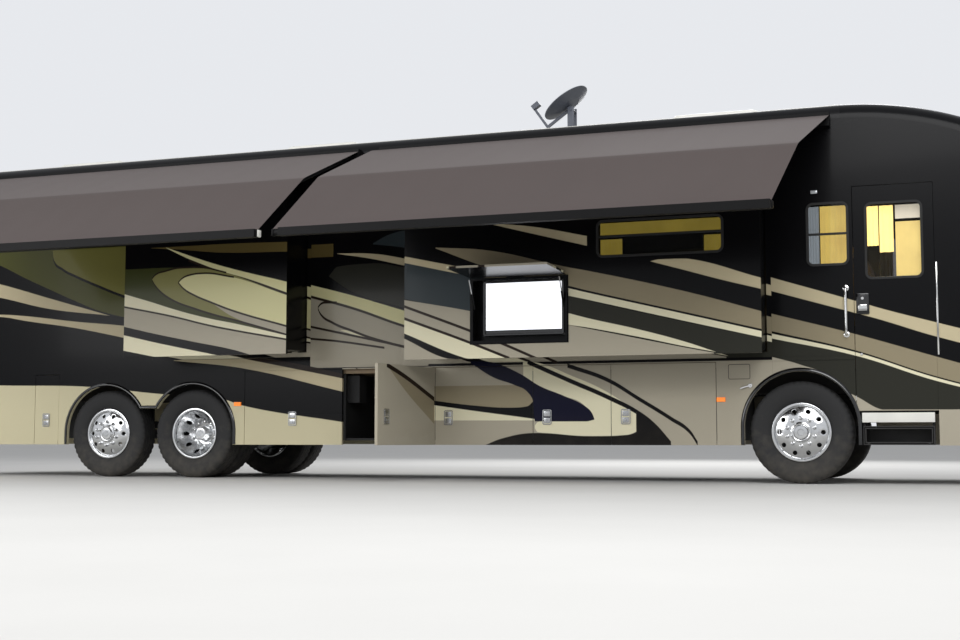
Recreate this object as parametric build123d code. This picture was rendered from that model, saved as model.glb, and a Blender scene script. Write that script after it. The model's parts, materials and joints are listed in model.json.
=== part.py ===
from build123d import *
import os
from math import atan2, degrees, radians, sqrt, tan

# A motorhome with a rear engine, a tag axle, three slide-outs and two patio awnings, in millimetres.
# While it is modelled, X runs forward from the front axle, Y to the coach's left from its centre plane
# and Z up from the ground. The last section moves everything so that the origin is under the middle.

# Body
HALF_WIDTH = 1283
WALL = 45
NOSE_X = 2300
TAIL_X = -10850
SKIRT_Z = 390
ROOF_Z = 3890
ROOF_EDGE_R = 170
NOSE_BOW = 110
NOSE_CORNER_R = 340
TAIL_CORNER_R = 160
RAKE_Z = 1500
RAKE_DEG = 8
ROOF_DROP_X = 400
ROOF_DROP_R = 3500
REAR_CAP_X = -10350
FRONT_CAP_X = 1420
CAP_EAVES_X = 450
CAP_EAVES_Z = 3200
WALL_TOP_Z = ROOF_Z - ROOF_EDGE_R
INNER_HALF = HALF_WIDTH - WALL
BELT_Z = (1250, 1285)
BELT_PROUD = 8

# Axles and wheels
FRONT_AXLE_X = 0
DRIVE_AXLE_X = -7090
TAG_AXLE_X = -8290
TYRE_R = 522
TYRE_WIDTH = 292
RIM_R = 298
RIM_WIDTH = 240
RIM_LIP = 22
TYRE_SET_IN = 35
DUAL_SPACING = 340
WHEEL_Y = HALF_WIDTH - TYRE_SET_IN - TYRE_WIDTH / 2
HUB_R = 95
HUB_CAP = 25
HUB_CAP_SHEET = 10
HUB_LENGTH = 90
HUB_SEAT = 0.3
DISC_SET_IN = 20
DISC_THICK = 14
SINGLE_REACH = 150
TWIN_REACH = DUAL_SPACING / 2
HAND_HOLES = 10
HAND_HOLE_R = 24
HAND_HOLE_CIRCLE_R = 215
SPINDLE_R = 40
SPINDLE_GAP = 0.3
SPINDLE_END_GAP = 10
KINGPIN_SET_IN = 187
KINGPIN_Y = WHEEL_Y - KINGPIN_SET_IN
KINGPIN_R = 22
KINGPIN_BOSS_R = 55
KINGPIN_BOSS_HEIGHT = 120
FORK_GAP = 4
FORK_THICK = 30
STEER_ARM = 200
STEER_ARM_HALF = 20
TIE_ROD_R = 18
STUD_R = 12
STUD_LENGTH = 42
STUD_EYE = 44
SINGLE_SPINDLE = SINGLE_REACH + HUB_CAP - HUB_CAP_SHEET - SPINDLE_END_GAP
TWIN_HUB = (60, 130)
TWIN_SPINDLE = -TWIN_REACH + TWIN_HUB[1] + HUB_CAP - HUB_CAP_SHEET - SPINDLE_END_GAP
FINAL_DRIVE_R = 210
PINION_R = 90

# Wheel arches: axle, radius and the height of the arch's centre
ARCH_FRONT = (FRONT_AXLE_X, 565, 575)
ARCH_DRIVE = (DRIVE_AXLE_X, 558, 542)
ARCH_TAG = (TAG_AXLE_X, 558, 542)
ARCH_BRIDGE_Z = 820
SKIRT_JOINTS = (-400, -190, 190, 400)

# Chassis and floor
RAIL_CLEAR = 146
RAIL_FLANGE = 80
TWIN_INNER_Y = WHEEL_Y - DUAL_SPACING - TYRE_WIDTH / 2
RAIL_Y = (TWIN_INNER_Y - RAIL_CLEAR - RAIL_FLANGE, TWIN_INNER_Y - RAIL_CLEAR)
RAIL_Z = (940, 1200)
RAIL_WEB = 10
RAIL_X = (-10500, 1900)
CROSS_MEMBERS_X = (-8900, -7700, -6460, -5300, -4150, -3000, -1850, -700, 700, 1800)
CROSS_MEMBER = 80
FLOOR_Z = (1200, 1300)
FLOOR_X = (-10650, 1750)
BEAM_REACH = 420
BEAM_Z = (600, 680)
AIR_BAG_R = 115
AIR_BAG_X = 290

# Luggage bays under the floor
BAY_TOP_Z = 1247
BAY_X = (-6380, -5120, -3980, -2840, -1970, -850)
BAY_PAN_Z = (440, 465)
BULKHEAD = 20
BULKHEAD_Y = HALF_WIDTH - 60
DOOR_THICK = 35
DOOR_GAP = 6
SEAL_GAP = 0.4
HINGE_BEAD_R = 2.6
HINGE_WEB = 2
POST_HALF = 25
LATCH = (100, 160, 8)
LATCH_Z = 690
LATCH_SET_IN = 160
OPEN_DOOR = "bay_door_right_2"
OPEN_DOOR_DEG = 80
SERVICE_BOX = (-5080, -4960, 870, 1180)

# Entry door and its steps
ENTRY_X = (556, 1330)
ENTRY_Z = (735, 3000)
ENTRY_WINDOW_X = (680, 1220)
ENTRY_WINDOW_Z = (2060, 2820)
WINDOW_CORNER_R = 60
PANE = 8
PANE_GAP = 0.4
WELL_X = (612, 1290)
WELL_TREADS_Z = (750, 1030)
WELL_TREADS_SET_IN = (58, 293, 553)
WELL_TREADS_Y = tuple(inset - HALF_WIDTH for inset in WELL_TREADS_SET_IN)
WELL_SHEET = 20
SILL_Z = (617, 716)
STEP_HOUSING_Z = (395, 582)
STEP_HOUSING_SET_IN = (18, 328)
STEP_HOUSING_Y = tuple(inset - HALF_WIDTH for inset in STEP_HOUSING_SET_IN)
STEP_SHEET = 10
STEP_GAP = 8
STEP_RUNNER = 20

# Windows in the walls
REAR_OF_DOOR_WINDOW = (105, 505, 2215, 2845)
DRIVER_WINDOW = (640, 1290, 2060, 2820)

# Slide-outs: name, side (-1 right, 1 left), fascia low X, high X, low Z, high Z, reach out
SLIDE_OUTS = [
    ("slide_rear_right", -1, -7650, -5530, 1400, 3350, 600),
    ("slide_front_right", -1, -4060, -270, 1295, 3350, 700),
    ("slide_left", 1, -5530, -270, 1295, 3350, 700),
]
FASCIA = 40
FLANGE = 50
SLIDE_SHEET = 35
SLIDE_GAP = 10
SLIDE_INSIDE = 70
RUNNER = 80
SLIDE_WINDOWS = {
    "slide_front_right": [(-1920, -640, 2310, 2675)],
    "slide_left": [(-4700, -3500, 2310, 2900), (-1920, -640, 2310, 2900)],
}

# Television in the front right slide-out, with its hatch
TV_FRAME_X = (-3300, -2240)
TV_FRAME_Z = (1450, 2140)
TV_FRAME = 28
TV_FRAME_PROUD = 15
TV_DEPTH = 130
TV_SCREEN_X = (-3180, -2290)
TV_SCREEN_Z = (1530, 2110)
TV_THICK = 70
HATCH_THICK = 22
HATCH_OPEN_DEG = 92
HATCH_GAP = 5
STRUT_FOOT = 330
STRUT_HEAD = 150
STRUT_R = 11
STRUT_ROD_R = 6
STRUT_TUBE = 176
STRUT_END = 5
STRUT_OVERLAP = 12

# Windshield and lamps in the front cap
WINDSHIELD_Y = (25, 1130)
WINDSHIELD_Z = (1640, 3230)
HEADLAMP_Y = (700, 1060)
HEADLAMP_Z = (800, 960)
GRILLE_Y = 480
GRILLE_SLOTS_Z = (840, 905, 970, 1035)
GRILLE_SLOT = 30
TAIL_LAMP_Y = (1000, 1100)
TAIL_LAMP_Z = (860, 1240)
AMBER_LAMPS = [(-800, 860), (-6470, 864)]
AMBER_LAMP = (90, 45, 14)

# Engine and its door in the rear cap
ENGINE_X = (-10420, -9250)
ENGINE_Z = (470, 1120)
ENGINE_DOOR_Y = 700
ENGINE_DOOR_Z = (560, 1330)
LOUVRES_Z = (700, 780, 860, 940, 1020, 1100, 1180)
LOUVRE = 30

# Awnings: low X and high X of each fabric at the wall, and how much shorter its front end is at the lead rail
AWNINGS = [(-10100, -4900, 0), (-4640, 355, 270)]
AWNING_LINE = [(90, 3735), (1430, 3190), (2400, 2500)]
AWNING_CLOTH = 5
CASSETTE_Z = (3630, 3770)
CASSETTE_DEPTH = 90
RAFTER = 40
RAFTER_DEPTH = 56
RIDGE_R = 20
RAFTER_SET_IN = 60
LEAD_RAIL = 80

# Roof equipment: name, middle X, length, width, height
ROOF_UNITS = [("rear", -9300, 1050, 760, 230), ("middle", -5900, 1050, 760, 230), ("front", -1000, 1050, 760, 230)]
ROOF_VENTS_X = (-7600, -4300)
ROOF_VENT = (400, 400, 110)
ROOF_UNIT_BEVEL = 60
DISH_X = -2750
DISH_PIVOT_Z = 4340
DISH_R = 300
DISH_SPHERE_R = 620
DISH_SHEET = 8
DISH_BACK = 55

# Rear hitch receiver
HITCH_Z = 445
HITCH_OUT = 90
HITCH_NOTCH = (150, 520)
HITCH_TUBE = 76
HITCH_BORE = 51
HITCH_PIN_R = 8
HITCH_PIN_SET_IN = 40

# Steering wheel and column
STEERING_SET_IN = 643
STEERING_PLACE = Pos(1270, HALF_WIDTH - STEERING_SET_IN, 2060) * Rot(0, -55, 0)
STEERING_R = 240
COLUMN_R = 34
COLUMN_GAP = 40
COLUMN_LENGTH = 260
DASH_SET_IN = (633, 133)

# Mirrors
MIRROR_ARM_R = 18
MIRROR_X = 1790
MIRROR_OUT = 217
MIRROR_Y = HALF_WIDTH + MIRROR_OUT
MIRROR_Z = (1850, 2350)

RIGHT = -1
LEFT = 1

# The origin: the middle of the body's length and of the width over the awnings and the left slide-out
AWNING_REACH = HALF_WIDTH + AWNING_LINE[2][0] + LEAD_RAIL
LEFT_REACH = HALF_WIDTH + SLIDE_OUTS[2][6]
TO_ORIGIN = Pos(-(NOSE_X + TAIL_X - HITCH_OUT) / 2, (AWNING_REACH - LEFT_REACH) / 2, 0)


def block(x, y, z):
    """A box between two X, two Y and two Z values."""
    size = [abs(high - low) for low, high in (x, y, z)]
    centre = [(high + low) / 2 for low, high in (x, y, z)]
    return Pos(*centre) * Box(*size)


def across(face, y0, y1):
    """Extrude an outline of X and Z from y0 to y1."""
    return extrude(Plane.XZ.offset(-y0) * face, y0 - y1)


def along(face, x0, x1):
    """Extrude an outline of Y and Z from x0 to x1."""
    return extrude(Plane.YZ.offset(x0) * face, x1 - x0)


def upright(face, z0, z1):
    """Extrude an outline of X and Y from z0 to z1."""
    return extrude(Pos(0, 0, z0) * face, z1 - z0)


def outline(*points):
    """A closed face through the points."""
    return make_face(Polyline(*points, close=True))


def outboard(side, inner, outer):
    """The Y range between two distances from the centre plane, on one side."""
    return (side * inner, side * outer)


def rounded(x, z, radius):
    """A rectangle in X and Z with rounded corners."""
    middle = Pos((x[0] + x[1]) / 2, (z[0] + z[1]) / 2)
    return middle * RectangleRounded(x[1] - x[0], z[1] - z[0], radius)


def grown(pair, amount):
    """A range made longer at both ends."""
    return (pair[0] - amount, pair[1] + amount)


def prism(radius, height):
    """An eight-sided bar that stands on its end, for round pieces that are seen only from afar."""
    return extrude(RegularPolygon(radius, 8), height)


def spin(profile):
    """Revolve a closed list of (distance outboard, radius) points about the wheel's axis, the Y axis."""
    face = outline(*[(radius, out) for out, radius in profile])
    return revolve(face, Axis.Y)


# Body shell


def plan_outline(inset):
    """The body seen from above: a bowed nose and rounded corners."""
    half = HALF_WIDTH - inset
    shoulder = NOSE_X - inset - NOSE_BOW
    tail = TAIL_X + inset
    sides = Polyline((shoulder, -half), (tail, -half), (tail, half), (shoulder, half))
    bow = ThreePointArc((shoulder, -half), (NOSE_X - inset, 0), (shoulder, half))
    face = make_face(sides + bow)
    face = fillet(face.vertices().sort_by(Axis.X)[2:], NOSE_CORNER_R - inset)
    return fillet(face.vertices().sort_by(Axis.X)[:2], TAIL_CORNER_R - inset)


def roof_profile(inset, floor_z):
    """The body seen from the side: a level roof that curves down over the cab."""
    radius = ROOF_DROP_R - inset
    roof = ROOF_Z - inset
    far = NOSE_X + WALL
    middle = (far + ROOF_DROP_X) / 2
    depth = {x: roof - radius + sqrt(radius**2 - (x - ROOF_DROP_X) ** 2) for x in (far, middle)}
    tail = TAIL_X - WALL
    line = Polyline((ROOF_DROP_X, roof), (tail, roof), (tail, floor_z), (far, floor_z), (far, depth[far]))
    return make_face(line + ThreePointArc((far, depth[far]), (middle, depth[middle]), (ROOF_DROP_X, roof)))


def envelope(inset):
    """The whole body as one solid, set in from the outer skin. Its bottom runs below the skirt."""
    floor_z = SKIRT_Z - inset
    plan = plan_outline(inset)
    lean = Vector(-tan(radians(RAKE_DEG)), 0, 1)
    lower = upright(plan, floor_z, RAKE_Z)
    straight = upright(plan, RAKE_Z, ROOF_Z + WALL)
    raked = extrude(Pos(0, 0, RAKE_Z) * plan, (ROOF_Z + WALL - RAKE_Z) * lean.length, dir=lean)
    body = lower + (straight & raked)
    body = body & across(roof_profile(inset, floor_z), -HALF_WIDTH - WALL, HALF_WIDTH + WALL)
    tops = [face for face in body.faces() if face.normal_at().Z > 0.5]
    shared = [edge for face in tops for edge in face.edges()]
    rim = [edge for edge in shared if sum((edge.center() - other.center()).length < 1 for other in shared) == 1]
    return fillet(rim, ROOF_EDGE_R - inset)


def slide_opening(row):
    """The hole in the wall that a slide-out passes through."""
    name, side, x0, x1, z0, z1, reach = row
    return block(
        (x0 + FLANGE, x1 - FLANGE), outboard(side, INNER_HALF - 1, HALF_WIDTH + 1), (z0 + FLANGE, z1 - FLANGE)
    )


def arch_cut(arch, side):
    """A wheel arch through one wall: half round above, straight down to the skirt."""
    axle_x, radius, centre_z = arch
    disc = Pos(axle_x, centre_z) * Circle(radius)
    leg = outline(
        (axle_x - radius, centre_z), (axle_x + radius, centre_z), (axle_x + radius, 0), (axle_x - radius, 0)
    )
    y0, y1 = sorted(outboard(side, INNER_HALF - 1, HALF_WIDTH + 1 + BELT_PROUD))
    return across(disc + leg, y0, y1)


def window_cut(window, side):
    """A window hole with rounded corners through one wall."""
    x0, x1, z0, z1 = window
    y0, y1 = sorted(outboard(side, INNER_HALF - 1, HALF_WIDTH + 1))
    return across(rounded((x0, x1), (z0, z1), WINDOW_CORNER_R), y0, y1)


def bay_doors(side):
    """Rows of name, low X, high X and hinge edge for the luggage doors of one side."""
    if side == RIGHT:
        return [
            ("bay_door_right_tail", -9330, -8980, "front"),
            ("bay_door_right_1", BAY_X[0], BAY_X[1], "top"),
            ("bay_door_right_2", BAY_X[1], BAY_X[2], "front"),
            ("bay_door_right_3", BAY_X[2], BAY_X[3], "front"),
            ("bay_door_right_4", BAY_X[3], BAY_X[4], "front"),
            ("bay_door_right_5", BAY_X[4], BAY_X[5], "front"),
        ]
    return [
        ("bay_door_left_1", BAY_X[0], BAY_X[1], "top"),
        ("bay_door_left_2", BAY_X[1], BAY_X[2], "front"),
        ("bay_door_left_3", BAY_X[2], BAY_X[4], "top"),
        ("bay_door_left_4", BAY_X[4], BAY_X[5], "front"),
    ]


def upright_bead(x, side, z0, z1, web_x, web_in):
    """The bead of a side-hinged door, on its axis in the door's gap, with a web to what carries it."""
    bead = Pos(x, side * HALF_WIDTH, z0) * prism(HINGE_BEAD_R, z1 - z0)
    half = HINGE_WEB / 2
    return bead + block((x - half, x + web_x), outboard(side, HALF_WIDTH - web_in, HALF_WIDTH + half), (z0, z1))


def level_bead(side, x0, x1):
    """The bead of a top-hinged luggage door, with a web up to the wall."""
    length = x1 - x0
    bead = Pos(x0, side * HALF_WIDTH, BAY_TOP_Z) * Rot(0, 90, 0) * prism(HINGE_BEAD_R, length)
    half = HINGE_WEB / 2
    web = block((x0, x1), outboard(side, HALF_WIDTH - half, HALF_WIDTH), (BAY_TOP_Z, BAY_TOP_Z + DOOR_GAP / 2 + 1))
    return bead + web


def door_post(x, side, has_hinge):
    """The post behind the edges of the luggage doors, with the bead of the door that hinges on it."""
    face = HALF_WIDTH - DOOR_THICK - SEAL_GAP
    post = block((x - POST_HALF, x + POST_HALF), outboard(side, BULKHEAD_Y - 1, face), (BAY_PAN_Z[0], BAY_TOP_Z - 57))
    if has_hinge:
        half = HINGE_WEB / 2
        post += upright_bead(x, side, BAY_PAN_Z[0], BAY_TOP_Z - 57, half, DOOR_THICK + 1)
    return post


def side_wall(side):
    """One side of the body between the caps, with every opening: the wall above the belt, and the skirt below it.

    The wall is in panels that meet at the openings, and the skirt in panels that meet over the wheels.
    """
    skin = outboard(side, INNER_HALF, HALF_WIDTH)
    wall = block((REAR_CAP_X, FRONT_CAP_X), skin, (SKIRT_Z, CAP_EAVES_Z))
    wall += block((REAR_CAP_X, CAP_EAVES_X), skin, (CAP_EAVES_Z, WALL_TOP_Z))
    wall += block((REAR_CAP_X, ENTRY_X[0] - DOOR_GAP), outboard(side, INNER_HALF, HALF_WIDTH + BELT_PROUD), BELT_Z)
    for arch in (ARCH_FRONT, ARCH_DRIVE, ARCH_TAG):
        wall -= arch_cut(arch, side)
    deep = outboard(side, INNER_HALF - 1, HALF_WIDTH + 1 + BELT_PROUD)
    wall -= block((TAG_AXLE_X, DRIVE_AXLE_X), deep, (0, ARCH_BRIDGE_Z))
    for name, x0, x1, hinge in bay_doors(side):
        wall -= block(grown((x0, x1), DOOR_GAP / 2), deep, (0, BAY_TOP_Z + DOOR_GAP / 2))
    for row in SLIDE_OUTS:
        if row[1] == side:
            wall -= slide_opening(row)
            for x in (row[2] + 2 * RUNNER, row[3] - 3 * RUNNER):
                wall += block((x, x + RUNNER), skin, (row[4] + FLANGE - 1, row[4] + FLANGE + SLIDE_GAP - SEAL_GAP))
    for name, x0, x1, hinge in bay_doors(side):
        if hinge == "top":
            wall += level_bead(side, x0 + DOOR_GAP, x1 - DOOR_GAP)
        elif x1 < BAY_X[0]:
            wall += door_post(x1, side, True)
    if side == RIGHT:
        wall -= block(grown(ENTRY_X, DOOR_GAP), deep, (0, ENTRY_Z[1] + DOOR_GAP))
        wall -= window_cut(REAR_OF_DOOR_WINDOW, side)
        axis_x = ENTRY_X[1] + DOOR_GAP / 2
        wall += upright_bead(axis_x, side, ENTRY_Z[0], ENTRY_Z[1], DOOR_GAP / 2 + 1, HINGE_WEB / 2)
    else:
        wall -= window_cut(DRIVER_WINDOW, side)
    upper = [REAR_CAP_X, FRONT_CAP_X]
    for row in SLIDE_OUTS:
        if row[1] == side:
            upper += grown((row[2], row[3]), -FLANGE)
    if side == RIGHT:
        upper += [ENTRY_X[0] - DOOR_GAP, ENTRY_X[1] + DOOR_GAP / 2 - HINGE_BEAD_R]
    axles = (TAG_AXLE_X, DRIVE_AXLE_X, FRONT_AXLE_X)
    lower = [REAR_CAP_X] + [axle_x + offset for axle_x in axles for offset in SKIRT_JOINTS] + [FRONT_CAP_X]
    parting_z = BAY_TOP_Z + DOOR_GAP / 2
    return panels(wall, sorted(upper), (parting_z, ROOF_Z)) + panels(wall, lower, (0, parting_z))


def panels(sheet, joints, heights):
    """The panels that a sheet is in, from one joint along it to the next, between two heights."""
    wide = (-HALF_WIDTH - WALL, HALF_WIDTH + WALL)
    return [sheet & block((x0, x1), wide, heights) for x0, x1 in zip(joints, joints[1:])]


def windshield_zone(side, inset):
    """The block that cuts one half of the windshield out of the front cap."""
    y0, y1 = WINDSHIELD_Y
    return block(
        (FRONT_CAP_X + WALL, NOSE_X + WALL), outboard(side, y0 + inset, y1 - inset), grown(WINDSHIELD_Z, -inset)
    )


def lamp_zones(inset):
    """The blocks that cut the headlamps and tail lamps out of the caps."""
    zones = []
    for side in (RIGHT, LEFT):
        zones.append(
            block((NOSE_X - 500, NOSE_X + WALL), outboard(side, *grown(HEADLAMP_Y, -inset)), grown(HEADLAMP_Z, -inset))
        )
        zones.append(
            block((TAIL_X - WALL, TAIL_X + 200), outboard(side, *grown(TAIL_LAMP_Y, -inset)), grown(TAIL_LAMP_Z, -inset))
        )
    return zones


def engine_zone(inset):
    """The block that cuts the engine door out of the rear cap."""
    half = ENGINE_DOOR_Y - inset
    return block((TAIL_X - WALL, TAIL_X + 2 * WALL), (-half, half), grown(ENGINE_DOOR_Z, -inset))


def build_caps(shell):
    """The moulded front and rear ends."""
    wide = (-HALF_WIDTH - WALL, HALF_WIDTH + WALL)
    front = shell & block((CAP_EAVES_X, NOSE_X + WALL), wide, (0, ROOF_Z + WALL))
    front -= block((CAP_EAVES_X - 1, FRONT_CAP_X), wide, (0, CAP_EAVES_Z))
    rear = shell & block((TAIL_X - WALL, REAR_CAP_X), wide, (0, ROOF_Z + WALL))
    for side in (RIGHT, LEFT):
        front -= windshield_zone(side, 0)
    for zone in lamp_zones(0):
        front -= zone
        rear -= zone
    for z in GRILLE_SLOTS_Z:
        front -= block((NOSE_X - 200, NOSE_X + WALL), (-GRILLE_Y, GRILLE_Y), (z, z + GRILLE_SLOT))
    rear -= engine_zone(0)
    rear -= block((TAIL_X - WALL, TAIL_X + 2 * WALL), (-HITCH_NOTCH[0], HITCH_NOTCH[0]), (0, HITCH_NOTCH[1]))
    half = ENGINE_DOOR_Y - DOOR_GAP
    axis_z = ENGINE_DOOR_Z[1] - DOOR_GAP / 2
    rear += Pos(TAIL_X, half, axis_z) * Rot(90, 0, 0) * prism(HINGE_BEAD_R, 2 * half)
    rear += block((TAIL_X, TAIL_X + HINGE_WEB / 2), (-half, half), (axis_z, ENGINE_DOOR_Z[1] + 1))
    return front, rear


def build_glazing(skin):
    """The two halves of the windshield and the fixed panes of the side walls."""
    panes = [skin & windshield_zone(side, PANE_GAP) for side in (RIGHT, LEFT)]
    for window, side in ((REAR_OF_DOOR_WINDOW, RIGHT), (DRIVER_WINDOW, LEFT)):
        x0, x1, z0, z1 = window
        y0, y1 = sorted(outboard(side, HALF_WIDTH - 2 * PANE, HALF_WIDTH - PANE))
        shape = rounded(grown((x0, x1), -PANE_GAP), grown((z0, z1), -PANE_GAP), WINDOW_CORNER_R - PANE_GAP)
        panes.append(across(shape, y0, y1))
    return panes


def build_lamps(shell):
    """Lenses in the caps and the amber side markers."""
    lenses = []
    for zone in lamp_zones(PANE_GAP):
        lenses += list((shell & zone).solids())
    width, height, proud = AMBER_LAMP
    for side in (RIGHT, LEFT):
        for x, z in AMBER_LAMPS:
            lenses.append(
                block(
                    (x - width / 2, x + width / 2),
                    outboard(side, HALF_WIDTH, HALF_WIDTH + proud),
                    (z - height / 2, z + height / 2),
                )
            )
    return lenses


# Chassis


def build_chassis():
    """Two channel rails, cross members and the rear hitch receiver."""
    frame = None
    for side in (RIGHT, LEFT):
        rail = block(RAIL_X, outboard(side, *RAIL_Y), RAIL_Z)
        rail -= block(grown(RAIL_X, 1), outboard(side, RAIL_Y[0] - 1, RAIL_Y[1] - RAIL_WEB), grown(RAIL_Z, -RAIL_WEB))
        frame = rail if frame is None else frame + rail
    half = CROSS_MEMBER / 2
    inner = RAIL_Y[1] - RAIL_WEB
    low = RAIL_Z[0] + RAIL_WEB
    for x in CROSS_MEMBERS_X:
        frame += block((x - half, x + half), (-inner, inner), (low, low + CROSS_MEMBER * 2))
    drop = block((RAIL_X[0], RAIL_X[0] + 60), (-inner, -inner + 60), (HITCH_Z - 40, RAIL_Z[0] + RAIL_WEB))
    frame += drop + mirror(drop, Plane.XZ)
    frame += block((RAIL_X[0], RAIL_X[0] + 60), (-inner, inner), (HITCH_Z - 40, HITCH_Z + 40))
    tube_x = (TAIL_X - HITCH_OUT, RAIL_X[0] + 60)
    tube = block(tube_x, (-HITCH_TUBE / 2, HITCH_TUBE / 2), (HITCH_Z - HITCH_TUBE / 2, HITCH_Z + HITCH_TUBE / 2))
    frame += tube
    frame -= block(
        (tube_x[0] - 1, tube_x[1] - 100),
        (-HITCH_BORE / 2, HITCH_BORE / 2),
        (HITCH_Z - HITCH_BORE / 2, HITCH_Z + HITCH_BORE / 2),
    )
    pin = Pos(tube_x[0] + HITCH_PIN_SET_IN, 0, HITCH_Z) * Rot(90, 0, 0) * Cylinder(HITCH_PIN_R, HITCH_TUBE + 10)
    return frame - pin


def suspension(axle_x, bag_offsets):
    """Trailing beams and air bags that carry one axle under the rails."""
    pieces = []
    for side in (RIGHT, LEFT):
        middle = side * (RAIL_Y[0] + RAIL_Y[1]) / 2
        beam = block((axle_x - BEAM_REACH, axle_x + BEAM_REACH), outboard(side, *RAIL_Y), BEAM_Z)
        height = RAIL_Z[0] - BEAM_Z[1]
        for offset in bag_offsets:
            beam += Pos(axle_x + offset, middle, BEAM_Z[1]) * prism(AIR_BAG_R, height)
        pieces.append(beam)
    return pieces


def rod(radius, x, y0, y1, z):
    """A round bar across the coach."""
    return Pos(x, (y0 + y1) / 2, z) * Rot(90, 0, 0) * Cylinder(radius, abs(y1 - y0))


def build_front_axle():
    """A dropped beam with a kingpin boss at each end."""
    boss_low = TYRE_R - KINGPIN_BOSS_HEIGHT / 2
    beam = block((-50, 50), (-KINGPIN_Y + 40, KINGPIN_Y - 40), (boss_low + 10, boss_low + 110))
    beam -= block((-60, 60), (-RAIL_Y[1] - 40, RAIL_Y[1] + 40), (boss_low + 70, boss_low + 120))
    for side in (RIGHT, LEFT):
        beam += Pos(0, side * KINGPIN_Y, boss_low) * prism(KINGPIN_BOSS_R, KINGPIN_BOSS_HEIGHT)
        beam -= Pos(0, side * KINGPIN_Y, TYRE_R) * Cylinder(KINGPIN_R + SPINDLE_GAP, KINGPIN_BOSS_HEIGHT + 2)
        beam += block((-50, 50), outboard(side, *RAIL_Y), (boss_low + 10, BEAM_Z[0]))
    for piece in suspension(FRONT_AXLE_X, (0,)):
        beam += piece
    return beam


def build_solid_axle(axle_x, tube_r, wheel_reach, bag_offsets, has_drive):
    """A straight axle tube with stub spindles, and the final drive where it has one."""
    reach = WHEEL_Y + wheel_reach
    axle = rod(SPINDLE_R, axle_x, -reach, reach, TYRE_R)
    end = RAIL_Y[1] + 60
    axle += Pos(axle_x, end, TYRE_R) * Rot(90, 0, 0) * prism(tube_r, 2 * end)
    if has_drive:
        half = FINAL_DRIVE_R / 2
        axle += Pos(axle_x - half, 0, TYRE_R) * Rot(0, 90, 0) * prism(FINAL_DRIVE_R, 2 * half)
        axle += Pos(axle_x - 3 * half, 0, TYRE_R) * Rot(0, 90, 0) * prism(PINION_R, 2 * half + 1)
    for piece in suspension(axle_x, bag_offsets):
        axle += piece
    for side in (RIGHT, LEFT):
        axle += block((axle_x - 60, axle_x + 60), outboard(side, *RAIL_Y), (TYRE_R, BEAM_Z[0]))
    return axle


def knuckle(side):
    """A fork round the kingpin boss, with the kingpin, the wheel spindle and the steering arm."""
    y = side * KINGPIN_Y
    boss_half = KINGPIN_BOSS_HEIGHT / 2 + FORK_GAP
    back = KINGPIN_BOSS_R + 15
    shape = Pos(0, y, TYRE_R) * Cylinder(KINGPIN_R, 2 * boss_half + 2)
    for low in (boss_half, -boss_half - FORK_THICK):
        shape += block((-60, 60), outboard(side, KINGPIN_Y - 60, KINGPIN_Y + back), (TYRE_R + low, TYRE_R + low + FORK_THICK))
    tall = boss_half + FORK_THICK
    shape += block(
        (-60, 60), outboard(side, KINGPIN_Y + back, KINGPIN_Y + back + 30), (TYRE_R - tall, TYRE_R + tall)
    )
    shape += rod(SPINDLE_R, 0, side * (KINGPIN_Y + back), side * (WHEEL_Y + SINGLE_SPINDLE), TYRE_R)
    arm_z = TYRE_R - tall
    arm_y = grown((y, y), STEER_ARM_HALF)
    shape += block((-STEER_ARM - 30, 0), arm_y, (arm_z, arm_z + FORK_THICK))
    stud = Pos(-STEER_ARM, y, arm_z - STUD_LENGTH / 2) * Cylinder(STUD_R, STUD_LENGTH)
    return shape + stud


def build_tie_rod():
    """The bar that joins the two steering arms, with an eye on each ball stud."""
    eye_y = KINGPIN_Y
    arm_z = TYRE_R - KINGPIN_BOSS_HEIGHT / 2 - FORK_GAP - FORK_THICK
    z = arm_z - STUD_EYE / 2 - 2
    bar = block((-STEER_ARM - TIE_ROD_R, -STEER_ARM + TIE_ROD_R), (-eye_y, eye_y), (z - TIE_ROD_R, z + TIE_ROD_R))
    for y in (-eye_y, eye_y):
        bar += Pos(-STEER_ARM, y, z - STUD_EYE / 2) * prism(30, STUD_EYE)
        bar -= Pos(-STEER_ARM, y, z) * Cylinder(STUD_R + SPINDLE_GAP, STUD_EYE + 2)
    return bar


# Wheels, modelled about the Y axis with the outboard side towards +Y


def tyre():
    """A radial truck tyre on its rim."""
    half = TYRE_WIDTH / 2
    seat = RIM_WIDTH / 2 - 8
    bore = RIM_R + SPINDLE_GAP
    widest = (RIM_R + TYRE_R) / 2
    profile = [
        (-seat, bore),
        (seat, bore),
        (half, widest),
        (half * 0.80, TYRE_R),
        (-half * 0.80, TYRE_R),
        (-half, widest),
    ]
    return spin(profile)


def rim(bowl_side, reach, holes):
    """A rim barrel and a pressed disc with hand holes, bowed to +Y or -Y."""
    half = RIM_WIDTH / 2
    lip = RIM_R - RIM_LIP
    root = half - DISC_SET_IN
    profile = [
        (-half, RIM_R),
        (-half, lip),
        (root - DISC_THICK, lip),
        (reach - DISC_THICK, HUB_R),
        (reach, HUB_R),
        (root, lip),
        (half, lip),
        (half, RIM_R),
    ]
    shape = spin([(bowl_side * out, radius) for out, radius in profile])
    for n in range(holes):
        angle = 360 * n / holes
        hole = Rot(90, 0, 0) * extrude(RegularPolygon(HAND_HOLE_R, 6), 2 * DISC_THICK, both=True)
        at = Pos(HAND_HOLE_CIRCLE_R, bowl_side * (reach - DISC_THICK / 2), 0)
        shape -= Rot(0, angle, 0) * at * hole
    return shape


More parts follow.
